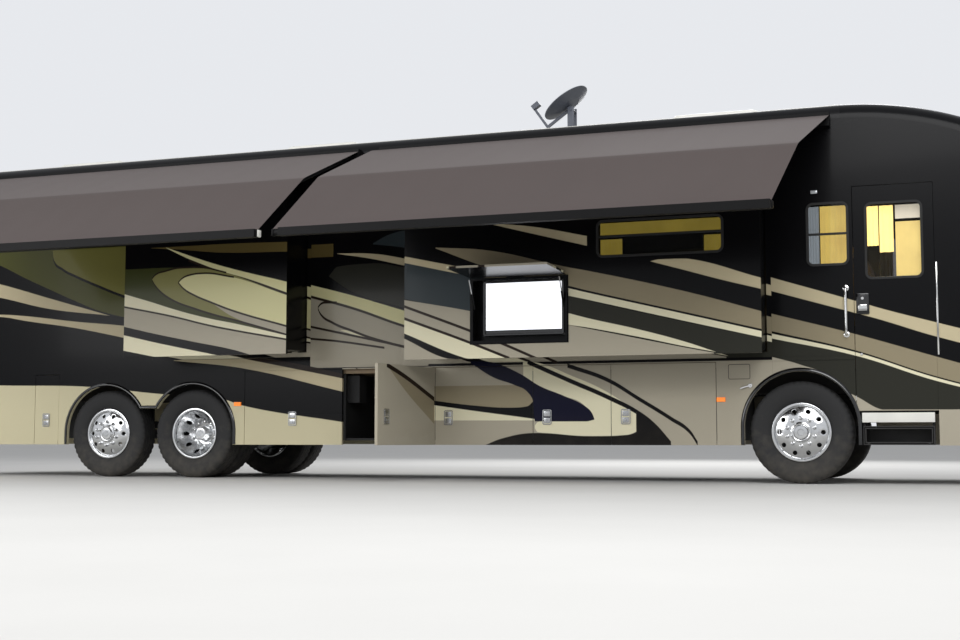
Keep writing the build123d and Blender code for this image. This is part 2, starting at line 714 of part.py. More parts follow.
def hub(y0, y1):
    """A hub turned about the axle, closed by a cap at its outer end."""
    bore = SPINDLE_R + SPINDLE_GAP
    profile = [
        (y0, bore),
        (y0, HUB_R - HUB_SEAT),
        (y1 + HUB_CAP, HUB_R - HUB_SEAT),
        (y1 + HUB_CAP, 0),
        (y1 + HUB_CAP - HUB_CAP_SHEET, 0),
        (y1 + HUB_CAP - HUB_CAP_SHEET, bore),
    ]
    return spin(profile)


def placed(shape, axle_x, side, distance):
    """A wheel part moved to its axle's end, with its outboard side facing out."""
    turn = Rot(0, 0, 0) if side == LEFT else Rot(0, 0, 180)
    return Pos(axle_x, side * distance, TYRE_R) * turn * shape


def single_wheel(axle_x, side):
    """The tyre of one single wheel, and its rim with the hub that it sits on."""
    wheel = [rim(1, SINGLE_REACH, HAND_HOLES), hub(SINGLE_REACH - HUB_LENGTH, SINGLE_REACH)]
    return placed(tyre(), axle_x, side, WHEEL_Y), [placed(piece, axle_x, side, WHEEL_Y) for piece in wheel]


def twin_wheel(axle_x, side):
    """The tyres of one pair of twin wheels, and their rims, disc to disc on one hub."""
    tyres = [placed(tyre(), axle_x, side, WHEEL_Y - offset) for offset in (0, DUAL_SPACING)]
    wheels = [
        rim(-1, TWIN_REACH, HAND_HOLES),
        Pos(0, -DUAL_SPACING, 0) * rim(1, TWIN_REACH, 0),
        hub(-TWIN_REACH - TWIN_HUB[0], -TWIN_REACH + TWIN_HUB[1]),
    ]
    return tyres, [placed(piece, axle_x, side, WHEEL_Y) for piece in wheels]


# Floor, bays and cab


def build_floor():
    """The floor deck in panels, and the stepwell inside the entry door with the housing of the sliding step."""
    edge, mid, back = WELL_TREADS_Y
    low, high = WELL_TREADS_Z
    sheet = WELL_SHEET
    deck = block(FLOOR_X, (-INNER_HALF, INNER_HALF), FLOOR_Z)
    deck -= block(WELL_X, (-INNER_HALF - 1, back + sheet), grown(FLOOR_Z, 1))
    deck -= block(grown(ENTRY_X, DOOR_GAP), (-INNER_HALF - 1, edge), grown(FLOOR_Z, 1))
    room = outline((edge - 20, low), (mid, low), (mid, high), (back, high), (back, 2000), (edge - 20, 2000))
    steps = outline(
        (edge, low - sheet),
        (mid + sheet, low - sheet),
        (mid + sheet, high - sheet),
        (back + sheet, high - sheet),
        (back + sheet, FLOOR_Z[1]),
        (edge, FLOOR_Z[1]),
    )
    well = along(steps, *WELL_X) - along(room, WELL_X[0] + sheet, WELL_X[1] - sheet)
    well += block(WELL_X, (edge - 50, edge), SILL_Z)
    well += block(WELL_X, (edge, edge + sheet), (SILL_Z[0], low - sheet))
    joints = [FLOOR_X[0], ENTRY_X[0] - DOOR_GAP, *WELL_X, ENTRY_X[1] + DOOR_GAP, FLOOR_X[1]]
    return panels(deck, joints, FLOOR_Z) + [well + build_step_housing()]


def build_step_housing():
    """The open-fronted box that the sliding step runs in, hung from the sill and the stepwell."""
    edge = WELL_TREADS_Y[0]
    sheet = WELL_SHEET
    housing = block(WELL_X, STEP_HOUSING_Y, STEP_HOUSING_Z)
    housing -= block(
        grown(WELL_X, -STEP_SHEET),
        (STEP_HOUSING_Y[0] - 1, STEP_HOUSING_Y[1] - STEP_SHEET),
        grown(STEP_HOUSING_Z, -STEP_SHEET),
    )
    for x in (WELL_X[0] + 2 * STEP_RUNNER, WELL_X[1] - 3 * STEP_RUNNER):
        housing += block(
            (x, x + STEP_RUNNER),
            (STEP_HOUSING_Y[0] + STEP_GAP, STEP_HOUSING_Y[1] - STEP_SHEET),
            (STEP_HOUSING_Z[0], STEP_HOUSING_Z[0] + STEP_SHEET + STEP_GAP - SEAL_GAP),
        )
    well_low = WELL_TREADS_Z[1] - sheet
    for x in (WELL_X[0], WELL_X[1] - sheet):
        hanger_x = (x, x + sheet)
        housing += block(hanger_x, (edge, edge + sheet), (STEP_HOUSING_Z[1], SILL_Z[0]))
        housing += block(hanger_x, (STEP_HOUSING_Y[1] - sheet, STEP_HOUSING_Y[1]), (STEP_HOUSING_Z[1], well_low))
    return housing


def build_basement():
    """The floor pan of the luggage bays, the bulkheads that stand on it and the service box on one of them."""
    pan = block((BAY_X[0], BAY_X[-1]), (-BULKHEAD_Y, BULKHEAD_Y), BAY_PAN_Z)
    notch = RAIL_Y[1] + 5
    rail_low = RAIL_Z[0] - 2
    top = FLOOR_Z[0]
    shape = outline(
        (-BULKHEAD_Y, BAY_PAN_Z[1]),
        (BULKHEAD_Y, BAY_PAN_Z[1]),
        (BULKHEAD_Y, top),
        (notch, top),
        (notch, rail_low),
        (-notch, rail_low),
        (-notch, top),
        (-BULKHEAD_Y, top),
    )
    pieces = [pan]
    bays_x = grown((BAY_X[0], BAY_X[-1]), HINGE_BEAD_R)
    bays = block(bays_x, (-HALF_WIDTH - WALL, HALF_WIDTH + WALL), (0, top))
    for x in BAY_X:
        start = min(max(x - BULKHEAD / 2, BAY_X[0]), BAY_X[-1] - BULKHEAD)
        bulkhead = along(shape, start, start + BULKHEAD)
        for side in (RIGHT, LEFT):
            hinges = [row[2] for row in bay_doors(side) if row[3] != "top"]
            bulkhead += door_post(x, side, x in hinges)
        pieces.append((bulkhead & bays) - pan)
    x0, x1, z0, z1 = SERVICE_BOX
    pieces.append(block((BAY_X[1] + BULKHEAD / 2, x1), (-BULKHEAD_Y + 60, -BULKHEAD_Y + 260), (z0, z1)))
    return pieces


def build_dashboard():
    """The dash across the cab."""
    face = outline((1500, FLOOR_Z[1]), (1700, FLOOR_Z[1]), (1740, 1900), (1690, 1980), (1480, 2000), (1350, 1900), (1380, 1840))
    dash = across(face, DASH_SET_IN[0] - HALF_WIDTH, HALF_WIDTH - DASH_SET_IN[1])
    return dash + column(COLUMN_GAP, COLUMN_LENGTH)


def column(start, end):
    """A stretch of the steering column, measured down from the wheel's centre."""
    length = end - start
    return STEERING_PLACE * Pos(0, 0, -end) * prism(COLUMN_R, length)


def build_seats():
    """The driver's and the passenger's seats on their pedestals."""
    seats = []
    for y in (-430, 640):
        side = outline((650, 1700), (1200, 1740), (1200, 1820), (800, 1790), (640, 2520), (500, 2500), (600, 1720))
        seat = across(side, y - 260, y + 260)
        seat += block((760, 1080), (y - 160, y + 160), (FLOOR_Z[1], 1730))
        seats.append(seat)
    return seats


# Doors


def latch_plate(side, x, z):
    """A paddle latch standing a little proud of a bay door."""
    width, height, proud = LATCH
    plate = block(
        (x - width / 2, x + width / 2), outboard(side, HALF_WIDTH, HALF_WIDTH + proud), (z - height / 2, z + height / 2)
    )
    return plate


def bay_door(row, side):
    """One luggage door with its latch, swung out where it stands open."""
    name, x0, x1, hinge = row
    panel = block(
        grown((x0, x1), -DOOR_GAP / 2),
        outboard(side, HALF_WIDTH - DOOR_THICK, HALF_WIDTH),
        (SKIRT_Z, BAY_TOP_Z - DOOR_GAP / 2),
    )
    latch_x = x0 + LATCH_SET_IN
    if hinge == "top" or x1 - x0 < 3 * LATCH_SET_IN:
        latch_x = (x0 + x1) / 2
    door = panel + latch_plate(side, latch_x, LATCH_Z)
    if name == OPEN_DOOR:
        pin = Pos(x1, side * HALF_WIDTH, 0)
        door = pin * Rot(0, 0, -side * OPEN_DOOR_DEG) * Pos(-x1, -side * HALF_WIDTH, 0) * door
    return door


def build_entry_door():
    """The entry door with its window hole."""
    door = block(ENTRY_X, (-HALF_WIDTH, -INNER_HALF), ENTRY_Z)
    door -= across(rounded(ENTRY_WINDOW_X, ENTRY_WINDOW_Z, WINDOW_CORNER_R), -HALF_WIDTH - 1, -INNER_HALF + 1)
    x = ENTRY_X[0] + 90
    door += block((x - 60, x + 40), (-HALF_WIDTH - 12, -HALF_WIDTH), (1790, 1900))
    return door


def build_entry_glass():
    """The pane of the entry door."""
    shape = rounded(
        grown(ENTRY_WINDOW_X, -PANE_GAP), grown(ENTRY_WINDOW_Z, -PANE_GAP), WINDOW_CORNER_R - PANE_GAP
    )
    return across(shape, -HALF_WIDTH + PANE, -HALF_WIDTH + 2 * PANE)


def build_step():
    """The sliding double step under the entry door."""
    inner = STEP_SHEET + STEP_GAP
    tread_x = grown(WELL_X, -inner)
    tread_y = (STEP_HOUSING_Y[0] + STEP_GAP, STEP_HOUSING_Y[1] - inner)
    tread_z = grown(STEP_HOUSING_Z, -inner)
    step = block(tread_x, tread_y, tread_z)
    return step - block(grown(tread_x, -STEP_SHEET), (tread_y[0] - 1, tread_y[1] - STEP_SHEET), grown(tread_z, -STEP_SHEET))


def build_engine_door(shell):
    """The louvred engine door of the rear cap."""
    door = shell & engine_zone(DOOR_GAP)
    half = ENGINE_DOOR_Y - 150
    for z in LOUVRES_Z:
        door -= block((TAIL_X - WALL, TAIL_X + 2 * WALL), (-half, half), (z, z + LOUVRE))
    return door


# Slide-outs


def build_slide(row):
    """A slide-out: a fascia with flanges outside the wall and an open box behind it."""
    name, side, x0, x1, z0, z1, reach = row
    face_out = HALF_WIDTH + reach
    fascia = block((x0, x1), outboard(side, face_out - FASCIA, face_out), (z0, z1))
    inner_end = INNER_HALF - SLIDE_INSIDE
    box_x = (x0 + FLANGE + SLIDE_GAP, x1 - FLANGE - SLIDE_GAP)
    box_z = (z0 + FLANGE + SLIDE_GAP, z1 - FLANGE - SLIDE_GAP)
    room = block(box_x, outboard(side, inner_end, face_out - FASCIA), box_z)
    room -= block(
        grown(box_x, -SLIDE_SHEET), outboard(side, inner_end - 1, face_out - FASCIA), grown(box_z, -SLIDE_SHEET)
    )
    slide = fascia + room
    for wx0, wx1, wz0, wz1 in SLIDE_WINDOWS.get(name, []):
        y0, y1 = sorted(outboard(side, face_out - FASCIA - 1, face_out + 1))
        slide -= across(rounded((wx0, wx1), (wz0, wz1), WINDOW_CORNER_R), y0, y1)
    if name == "slide_front_right":
        slide = add_tv_bay(slide, face_out)
    return slide


def add_tv_bay(slide, face_out):
    """The television's recess: a pocket through the fascia with a raised frame round it."""
    sheet = 12
    back = -face_out + TV_DEPTH
    inner_x, inner_z = grown(TV_FRAME_X, -TV_FRAME), grown(TV_FRAME_Z, -TV_FRAME)
    slide += block(grown(inner_x, sheet), (back + sheet, -face_out), grown(inner_z, sheet))
    slide += block(TV_FRAME_X, (-face_out - TV_FRAME_PROUD, -face_out), TV_FRAME_Z)
    slide -= block(inner_x, (back, -face_out - TV_FRAME_PROUD - 1), inner_z)
    axis_y = -face_out - TV_FRAME_PROUD - HATCH_GAP
    bead_x = grown(TV_FRAME_X, -DOOR_GAP)
    slide += Pos(bead_x[0], axis_y, TV_FRAME_Z[1]) * Rot(0, 90, 0) * prism(HINGE_BEAD_R, bead_x[1] - bead_x[0])
    half = HINGE_WEB / 2
    slide += block(bead_x, (axis_y, axis_y + HATCH_GAP + 1), (TV_FRAME_Z[1] - half, TV_FRAME_Z[1]))
    return slide


def build_slide_glass(row):
    """The panes of a slide-out."""
    name, side, x0, x1, z0, z1, reach = row
    face_out = HALF_WIDTH + reach
    panes = []
    for wx0, wx1, wz0, wz1 in SLIDE_WINDOWS[name]:
        y0, y1 = sorted(outboard(side, face_out - 2 * PANE, face_out - PANE))
        shape = rounded(grown((wx0, wx1), -PANE_GAP), grown((wz0, wz1), -PANE_GAP), WINDOW_CORNER_R - PANE_GAP)
        panes.append(across(shape, y0, y1))
    return panes


def tv_face():
    """How far the television's frame stands from the centre plane."""
    return HALF_WIDTH + SLIDE_OUTS[1][6] + TV_FRAME_PROUD


def build_tv():
    """The television in its recess."""
    back = -HALF_WIDTH - SLIDE_OUTS[1][6] + TV_DEPTH
    return block(TV_SCREEN_X, (back - TV_THICK, back - PANE_GAP), TV_SCREEN_Z)


def build_hatch():
    """The hatch, shut against the frame and then swung up about its top edge."""
    height = TV_FRAME_Z[1] - TV_FRAME_Z[0]
    closed = block(TV_FRAME_X, (-HATCH_THICK, 0), (-height, -DOOR_GAP / 2))
    return Pos(0, -tv_face() - HATCH_GAP, TV_FRAME_Z[1]) * Rot(-HATCH_OPEN_DEG, 0, 0) * closed


def strut_line():
    """Y and Z of a strut's foot on the frame, and of its head under the raised hatch."""
    foot = (-tv_face() + TV_FRAME_PROUD, TV_FRAME_Z[1] - STRUT_FOOT)
    head = (-tv_face() - STRUT_HEAD, TV_FRAME_Z[1] - HATCH_THICK - STRUT_R)
    return foot, head


def build_struts():
    """The cylinders of the hatch's gas struts and their rods."""
    foot, head = strut_line()
    span = Vector(0, head[0] - foot[0], head[1] - foot[1])
    lean = Rot(degrees(atan2(foot[0] - head[0], head[1] - foot[1])), 0, 0)
    cylinders, rods = [], []
    edge = TV_FRAME + STRUT_R + SEAL_GAP
    for x in (TV_FRAME_X[0] + edge, TV_FRAME_X[1] - edge):
        at = Pos(x, *foot) * lean
        bore = Pos(0, 0, STRUT_END) * prism(STRUT_ROD_R + 1.3 * SPINDLE_GAP, STRUT_TUBE)
        cylinders.append(at * (prism(STRUT_R, STRUT_TUBE) - bore))
        rod_start = STRUT_TUBE - STRUT_OVERLAP
        rods.append(at * Pos(0, 0, rod_start) * prism(STRUT_ROD_R, span.length - rod_start))
    return cylinders, rods


# Awnings


def awning_face(offset_low, offset_high):
    """The awning's bent line, thickened between two offsets below it, as a face of Y and Z."""
    tops = [(-HALF_WIDTH - out, z - offset_low) for out, z in AWNING_LINE]
    lows = [(-HALF_WIDTH - out, z - offset_high) for out, z in AWNING_LINE]
    return outline(*tops, *reversed(lows))


def awning_frame(x0, x1, taper):
    """Wall cassette, two bent rafters, the ridge bar and the lead rail of one awning."""
    lead_x = (x0, x1 - taper)
    frame = block((x0, x1), (-HALF_WIDTH - CASSETTE_DEPTH, -HALF_WIDTH), CASSETTE_Z)
    under = AWNING_CLOTH + SPINDLE_GAP
    lead_out, lead_z = AWNING_LINE[2]
    lead_y = -HALF_WIDTH - lead_out
    for x in (lead_x[0] + RAFTER_SET_IN, lead_x[1] - RAFTER_SET_IN - RAFTER):
        frame += along(awning_face(under, under + RAFTER_DEPTH), x, x + RAFTER)
        frame += block((x, x + RAFTER), (lead_y - 5, lead_y), (lead_z - RAFTER_DEPTH, lead_z - under))
    ridge_out, ridge_z = AWNING_LINE[1]
    ridge = Rot(0, 90, 0) * prism(RIDGE_R, lead_x[1] - lead_x[0] - 2 * RAFTER_SET_IN)
    frame += Pos(lead_x[0] + RAFTER_SET_IN, -HALF_WIDTH - ridge_out, ridge_z - under - 1.3 * RIDGE_R) * ridge
    return frame + block(lead_x, (lead_y - LEAD_RAIL, lead_y - SPINDLE_GAP), (lead_z - LEAD_RAIL, lead_z))


def awning_cloth(x0, x1, taper):
    """One awning's fabric, bent over the ridge bar, with its front edge drawn in towards the lead rail."""
    cloth = along(awning_face(0, AWNING_CLOTH), x0, x1)
    if taper == 0:
        return cloth
    near, far = -HALF_WIDTH, -HALF_WIDTH - AWNING_LINE[2][0]
    return cloth - upright(outline((x1, near), (x1 - taper, far), (x1 - taper, far - 1), (x1 + 1, far - 1), (x1 + 1, near)), 0, ROOF_Z)


# Roof equipment


def build_roof_units():
    """Air conditioners, vents and the dish's pedestal."""
    units = []
    for name, x, length, width, height in ROOF_UNITS:
        case = block((x - length / 2, x + length / 2), (-width / 2, width / 2), (ROOF_Z, ROOF_Z + height))
        case = chamfer(case.edges().filter_by(Axis.Z), ROOF_UNIT_BEVEL)
        units.append(chamfer(case.faces().sort_by(Axis.Z)[-1].edges(), ROOF_UNIT_BEVEL))
    length, width, height = ROOF_VENT
    for x in ROOF_VENTS_X:
        units.append(block((x - length / 2, x + length / 2), (-width / 2, width / 2), (ROOF_Z, ROOF_Z + height)))
    base = Pos(DISH_X, 0, ROOF_Z) * extrude(RegularPolygon(200, 16), 120)
    for y in (-70, 55):
        base += block((DISH_X - 40, DISH_X + 40), (y, y + 15), (ROOF_Z + 120, DISH_PIVOT_Z + 40))
    base -= rod(12 + SPINDLE_GAP, DISH_X, -100, 100, DISH_PIVOT_Z)
    units.append(base)
    return units


def build_dish():
    """The dish on its elevation yoke, with the feed arm."""
    back = rod(12, 0, -75, 75, 0) + block((-30, 30), (-45, 45), (-30, 60))
    curve = [(radius, DISH_BACK + radius**2 / (2 * DISH_SPHERE_R)) for radius in (0, DISH_R / 2, DISH_R)]
    shape = outline(*curve, *[(radius, z + DISH_SHEET) for radius, z in reversed(curve)])
    bowl = revolve(Plane.XZ * shape, Axis.Z)
    arm = block((-DISH_R - 60, 0), (-15, 15), (20, 50)) + block((-DISH_R - 60, -DISH_R - 30), (-15, 15), (20, 330))
    feed = block((-DISH_R - 60, -DISH_R + 40), (-35, 35), (310, 370))
    return Pos(DISH_X, 0, DISH_PIVOT_Z) * Rot(0, -35, 0) * (back + bowl + arm + feed)


def build_mirrors():
    """A mirror on an arm at each front corner."""
    mirrors = []
    for side in (RIGHT, LEFT):
        head = block((MIRROR_X - 90, MIRROR_X), outboard(side, MIRROR_Y - 110, MIRROR_Y + 110), MIRROR_Z)
        head = chamfer(head.edges().filter_by(Axis.X), 35)
        top = MIRROR_Z[1] - 120
        arm_x = MIRROR_X - 45
        arm = block(
            (arm_x - MIRROR_ARM_R, arm_x + MIRROR_ARM_R),
            outboard(side, HALF_WIDTH + SPINDLE_GAP, MIRROR_Y - 100),
            (top - MIRROR_ARM_R, top + MIRROR_ARM_R),
        )
        mirrors.append(head + arm)
    return mirrors


def build_steering_wheel():
    """The steering wheel with its four spokes and its hub."""
    ring = Pos(0, 0, -14) * extrude(RegularPolygon(STEERING_R, 16) - RegularPolygon(STEERING_R - 30, 16), 28)
    inner = STEERING_R - 15
    spokes = block((-inner, inner), (-18, 18), (-8, 8)) + block((-18, 18), (-inner, inner), (-8, 8))
    return STEERING_PLACE * (ring + spokes) + column(-20, COLUMN_GAP - SPINDLE_GAP)


def build_all():
    """Every node's shape by name, in the frame of the front axle."""
    shell = envelope(0) - envelope(WALL)
    skin = envelope(PANE) - envelope(2 * PANE)
    wide = (-HALF_WIDTH - WALL, HALF_WIDTH + WALL)
    front_cap, rear_cap = build_caps(shell)
    nodes = {
        "chassis_frame": build_chassis(),
        "floor_deck": build_floor(),
        "basement": build_basement(),
        "side_wall_right": side_wall(RIGHT),
        "side_wall_left": side_wall(LEFT),
        "roof": shell & block((REAR_CAP_X, CAP_EAVES_X), wide, (WALL_TOP_Z, ROOF_Z + WALL)),
        "front_cap": front_cap,
        "rear_cap": rear_cap,
        "glazing": build_glazing(skin),
        "lamps": build_lamps(shell),
        "front_axle": build_front_axle(),
        "drive_axle": build_solid_axle(DRIVE_AXLE_X, 75, TWIN_SPINDLE, (-AIR_BAG_X, AIR_BAG_X), True),
        "tag_axle": build_solid_axle(TAG_AXLE_X, 60, SINGLE_SPINDLE, (0,), False),
        "engine": block(ENGINE_X, (-RAIL_Y[0], RAIL_Y[0]), ENGINE_Z),
        "dashboard": build_dashboard(),
        "cab_seats": build_seats(),
        "steering_wheel": build_steering_wheel(),
        "entry_step": build_step(),
        "entry_door": build_entry_door(),
        "entry_door_glass": build_entry_glass(),
        "engine_door": build_engine_door(shell),
        "awning_frames": [awning_frame(*row) for row in AWNINGS],
        "awning_fabric": [awning_cloth(*row) for row in AWNINGS],
        "roof_units": build_roof_units(),
        "dish": build_dish(),
        "mirrors": build_mirrors(),
        "knuckle_right": knuckle(RIGHT),
        "knuckle_left": knuckle(LEFT),
        "tie_rod": build_tie_rod(),
    }
    for side, word in ((RIGHT, "right"), (LEFT, "left")):
        for axle_x, axle in ((FRONT_AXLE_X, "front"), (TAG_AXLE_X, "tag")):
            nodes[f"tyre_{axle}_{word}"], nodes[f"rim_{axle}_{word}"] = single_wheel(axle_x, side)
        nodes[f"tyres_drive_{word}"], nodes[f"rims_drive_{word}"] = twin_wheel(DRIVE_AXLE_X, side)
        for row in bay_doors(side):
            nodes[row[0]] = bay_door(row, side)
    for row in SLIDE_OUTS:
        nodes[row[0]] = build_slide(row)
        if row[0] in SLIDE_WINDOWS:
            nodes[row[0] + "_glass"] = build_slide_glass(row)
    nodes["tv_screen"] = build_tv()
    nodes["tv_hatch"] = build_hatch()
    nodes["hatch_strut_cylinders"], nodes["hatch_strut_rods"] = build_struts()
    return nodes


if __name__ == "__main__":
    os.makedirs("parts", exist_ok=True)
    for node, shape in build_all().items():
        pieces = shape if isinstance(shape, list) else [shape]
        solids = [TO_ORIGIN * solid for piece in pieces for solid in piece.solids()]
        export_step(Compound(children=solids) if len(solids) > 1 else solids[0], f"parts/{node}.step")
        print(node, len(solids))
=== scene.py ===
"""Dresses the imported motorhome: paint, wheels, windows, awnings, television, roof gear and the studio."""

from __future__ import annotations

import json
import logging
from dataclasses import dataclass, field
from enum import Enum
from math import asin, atan2, cos, hypot, pi, radians, sin
from typing import Any, Sequence, Union

import bmesh
import bpy
import numpy as np
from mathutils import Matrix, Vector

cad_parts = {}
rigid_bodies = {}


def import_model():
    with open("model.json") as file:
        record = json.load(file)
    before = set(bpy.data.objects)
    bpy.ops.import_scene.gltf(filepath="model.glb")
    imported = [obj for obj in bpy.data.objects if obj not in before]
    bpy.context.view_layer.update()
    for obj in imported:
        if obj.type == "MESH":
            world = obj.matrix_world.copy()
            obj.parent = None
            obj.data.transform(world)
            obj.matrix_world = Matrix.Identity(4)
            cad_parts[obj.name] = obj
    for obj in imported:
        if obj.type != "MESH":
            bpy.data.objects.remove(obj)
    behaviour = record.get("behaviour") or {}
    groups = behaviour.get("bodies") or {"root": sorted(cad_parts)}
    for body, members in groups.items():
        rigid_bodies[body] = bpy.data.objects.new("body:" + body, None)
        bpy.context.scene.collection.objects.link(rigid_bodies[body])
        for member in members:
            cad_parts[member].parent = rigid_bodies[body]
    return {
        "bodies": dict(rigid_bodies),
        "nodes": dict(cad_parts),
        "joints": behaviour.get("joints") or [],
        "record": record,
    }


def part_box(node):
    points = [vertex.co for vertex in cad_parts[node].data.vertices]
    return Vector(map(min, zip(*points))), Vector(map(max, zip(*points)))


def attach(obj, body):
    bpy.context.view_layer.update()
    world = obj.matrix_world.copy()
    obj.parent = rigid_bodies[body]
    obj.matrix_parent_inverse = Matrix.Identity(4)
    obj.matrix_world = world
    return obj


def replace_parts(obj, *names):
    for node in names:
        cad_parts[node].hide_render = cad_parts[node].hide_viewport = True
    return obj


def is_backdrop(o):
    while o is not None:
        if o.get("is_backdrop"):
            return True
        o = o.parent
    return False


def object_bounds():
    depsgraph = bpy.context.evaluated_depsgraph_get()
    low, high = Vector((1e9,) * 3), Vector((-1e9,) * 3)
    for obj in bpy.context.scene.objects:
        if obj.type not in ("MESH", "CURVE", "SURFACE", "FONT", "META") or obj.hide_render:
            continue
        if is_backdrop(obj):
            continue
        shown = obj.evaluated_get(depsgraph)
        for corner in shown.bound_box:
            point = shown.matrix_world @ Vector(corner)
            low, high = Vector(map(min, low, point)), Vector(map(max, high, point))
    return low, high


log = logging.getLogger("motorhome")

Array = np.ndarray
Point = tuple[float, float]
Spot = tuple[float, float, float]
Colour = tuple[float, float, float, float]
Number = Union["Value", float]
RIGHT, LEFT = -1, 1

# Places that several pieces share, in the coach's own metres: the origin is on the ground under the
# front axle, in the centre plane, with x forwards, y to the left and z up.
WALL_Y = 1.283
SLIDE_Y = 1.983
TAG_X = -8.29
DRIVE_X = -7.09
OPEN_DOOR = "bay_door_right_2"
OPEN_DOOR_X = (-5.12, -3.98)
OPEN_DOOR_ANGLE = 80.0


# Surfaces


def rotation(axis: str, angle: float) -> Array:
    """The matrix of a turn about "x", "y" or "z", counter-clockwise seen from the axis's tip."""
    first, second = {"x": (1, 2), "y": (2, 0), "z": (0, 1)}[axis]
    matrix = np.eye(3)
    matrix[first, first] = matrix[second, second] = cos(angle)
    matrix[first, second], matrix[second, first] = -sin(angle), sin(angle)
    return matrix


@dataclass
class Shell:
    """One surface: its points, one row of x, y, z each, and its four-sided faces."""

    points: Array
    faces: Array

    def moved(self, x: float = 0.0, y: float = 0.0, z: float = 0.0) -> "Shell":
        """Returns a copy shifted by x, y and z metres."""
        return Shell(self.points + np.array([x, y, z]), self.faces)

    def scaled(self, x: float = 1.0, y: float = 1.0, z: float = 1.0) -> "Shell":
        """Returns a copy stretched about the origin along each axis."""
        return Shell(self.points * np.array([x, y, z]), self.faces)

    def turned(self, axis: str, angle: float, about: Sequence[float] = (0.0, 0.0, 0.0)) -> "Shell":
        """Returns a copy turned about an axis through a point.

        Args:
            axis: "x", "y" or "z".
            angle: the turn in radians, counter-clockwise seen from the axis's tip.
            about: the point that stays where it is.

        Returns:
            The turned copy.
        """
        centre = np.asarray(about, float)
        return Shell((self.points - centre) @ rotation(axis, angle).T + centre, self.faces)


def sheet_of(points: Array, wrap_u: bool = False, wrap_v: bool = False) -> Shell:
    """Joins a grid of points into a surface.

    Args:
        points: an array of u by v by 3.
        wrap_u: whether the last row joins the first.
        wrap_v: whether the last column joins the first.

    Returns:
        The surface, whose faces take point (u, v) with its next neighbours.
    """
    rows, columns = points.shape[:2]
    u = np.arange(rows if wrap_u else rows - 1)
    v = np.arange(columns if wrap_v else columns - 1)
    u, v = (a.ravel() for a in np.meshgrid(u, v, indexing="ij"))
    next_u, next_v = (u + 1) % rows, (v + 1) % columns
    corners = [u * columns + v, next_u * columns + v, next_u * columns + next_v, u * columns + next_v]
    return Shell(points.reshape(-1, 3), np.stack(corners, 1))


def turned_profile(profile: Sequence[Point], steps: int = 48, axis: str = "y") -> Shell:
    """Turns a profile round an axis: the point (r, a) becomes a ring of radius r at height a.

    Args:
        profile: pairs of radius and distance along the axis.
        steps: the number of points round each ring.
        axis: "x", "y" or "z".

    Returns:
        The surface of revolution.
    """
    radius, along = (column[:, None] for column in np.asarray(profile, float).T)
    angle = np.linspace(0.0, 2 * pi, steps, endpoint=False)[None, :]
    one, two, axial = radius * np.cos(angle), radius * np.sin(angle), along + 0 * angle
    order = {"y": (one, axial, two), "z": (one, two, axial), "x": (axial, one, two)}[axis]
    return sheet_of(np.stack(order, 2), wrap_v=True)


def rounded_block(low: Sequence[float], high: Sequence[float], radius: float, steps: int = 3) -> Shell:
    """A box whose edges and corners are rounded: each octant of a sphere is pushed to its corner.

    Args:
        low: the lowest corner.
        high: the highest corner.
        radius: the radius of the edges.
        steps: the number of faces across each rounded edge.

    Returns:
        The closed surface.
    """
    low, high = np.asarray(low, float), np.asarray(high, float)
    centre, half = (low + high) / 2, np.maximum((high - low) / 2 - radius, 0.0)
    quarter = np.linspace(0.0, pi / 2, steps + 1)
    around = np.concatenate([quarter + n * pi / 2 for n in range(4)])
    signs_y = np.repeat([1.0, 1.0, -1.0, -1.0], steps + 1)
    signs_x = np.repeat([1.0, -1.0, -1.0, 1.0], steps + 1)
    up = np.concatenate([quarter - pi / 2, quarter])
    signs_z = np.repeat([-1.0, 1.0], steps + 1)
    ball = np.stack(
        [
            np.outer(np.cos(up), np.cos(around)),
            np.outer(np.cos(up), np.sin(around)),
            np.outer(np.sin(up), np.ones_like(around)),
        ],
        2,
    )
    corner = np.stack(
        [
            np.outer(np.ones_like(up), signs_x),
            np.outer(np.ones_like(up), signs_y),
            np.outer(signs_z, np.ones_like(around)),
        ],
        2,
    )
    rings = centre + corner * half + ball * radius
    tips = [centre + [0, 0, sign * (half[2] + radius)] for sign in (-1, 1)]
    bottom, top = (np.repeat(tip[None, None], rings.shape[1], 1) for tip in tips)
    return sheet_of(np.concatenate([bottom, rings, top], 0), wrap_v=True)


def frames_along(path: Array, closed: bool, up: Sequence[float]) -> tuple[Array, Array]:
    """Works out the two directions across a path at each of its points.

    Args:
        path: the points, one row each.
        closed: whether the path joins its own start.
        up: the direction that the second of the two keeps nearest to.

    Returns:
        The sideways and the upward unit vectors at each point.
    """
    if closed:
        ahead = np.roll(path, -1, 0) - np.roll(path, 1, 0)
    else:
        ahead = np.gradient(path, axis=0)
    ahead /= np.linalg.norm(ahead, axis=1, keepdims=True)
    side = np.cross(ahead, np.asarray(up, float))
    side /= np.linalg.norm(side, axis=1, keepdims=True)
    return side, np.cross(side, ahead)


def carried(section: Sequence[Point], path: Any, up: Sequence[float], closed: bool = False) -> Shell:
    """Carries a closed section along a path: each section point is path + side * a + up * b.

    Args:
        section: pairs of distances sideways and upwards, round the section.
        path: the points of the path.
        up: the direction that the section's second distance keeps nearest to.
        closed: whether the path joins its own start. The ends of an open path are drawn to points.

    Returns:
        The swept surface.
    """
    path = np.asarray(path, float)
    side, over = frames_along(path, closed, up)
    across = np.asarray(section, float)
    rings = path[:, None] + side[:, None] * across[None, :, :1] + over[:, None] * across[None, :, 1:]
    if not closed:
        middle = across.mean(0)
        ends = path[[0, -1]] + side[[0, -1]] * middle[0] + over[[0, -1]] * middle[1]
        caps = np.repeat(ends[:, None], len(across), 1)
        rings = np.concatenate([caps[:1], rings, caps[1:]], 0)
    return sheet_of(rings, wrap_u=closed, wrap_v=True)


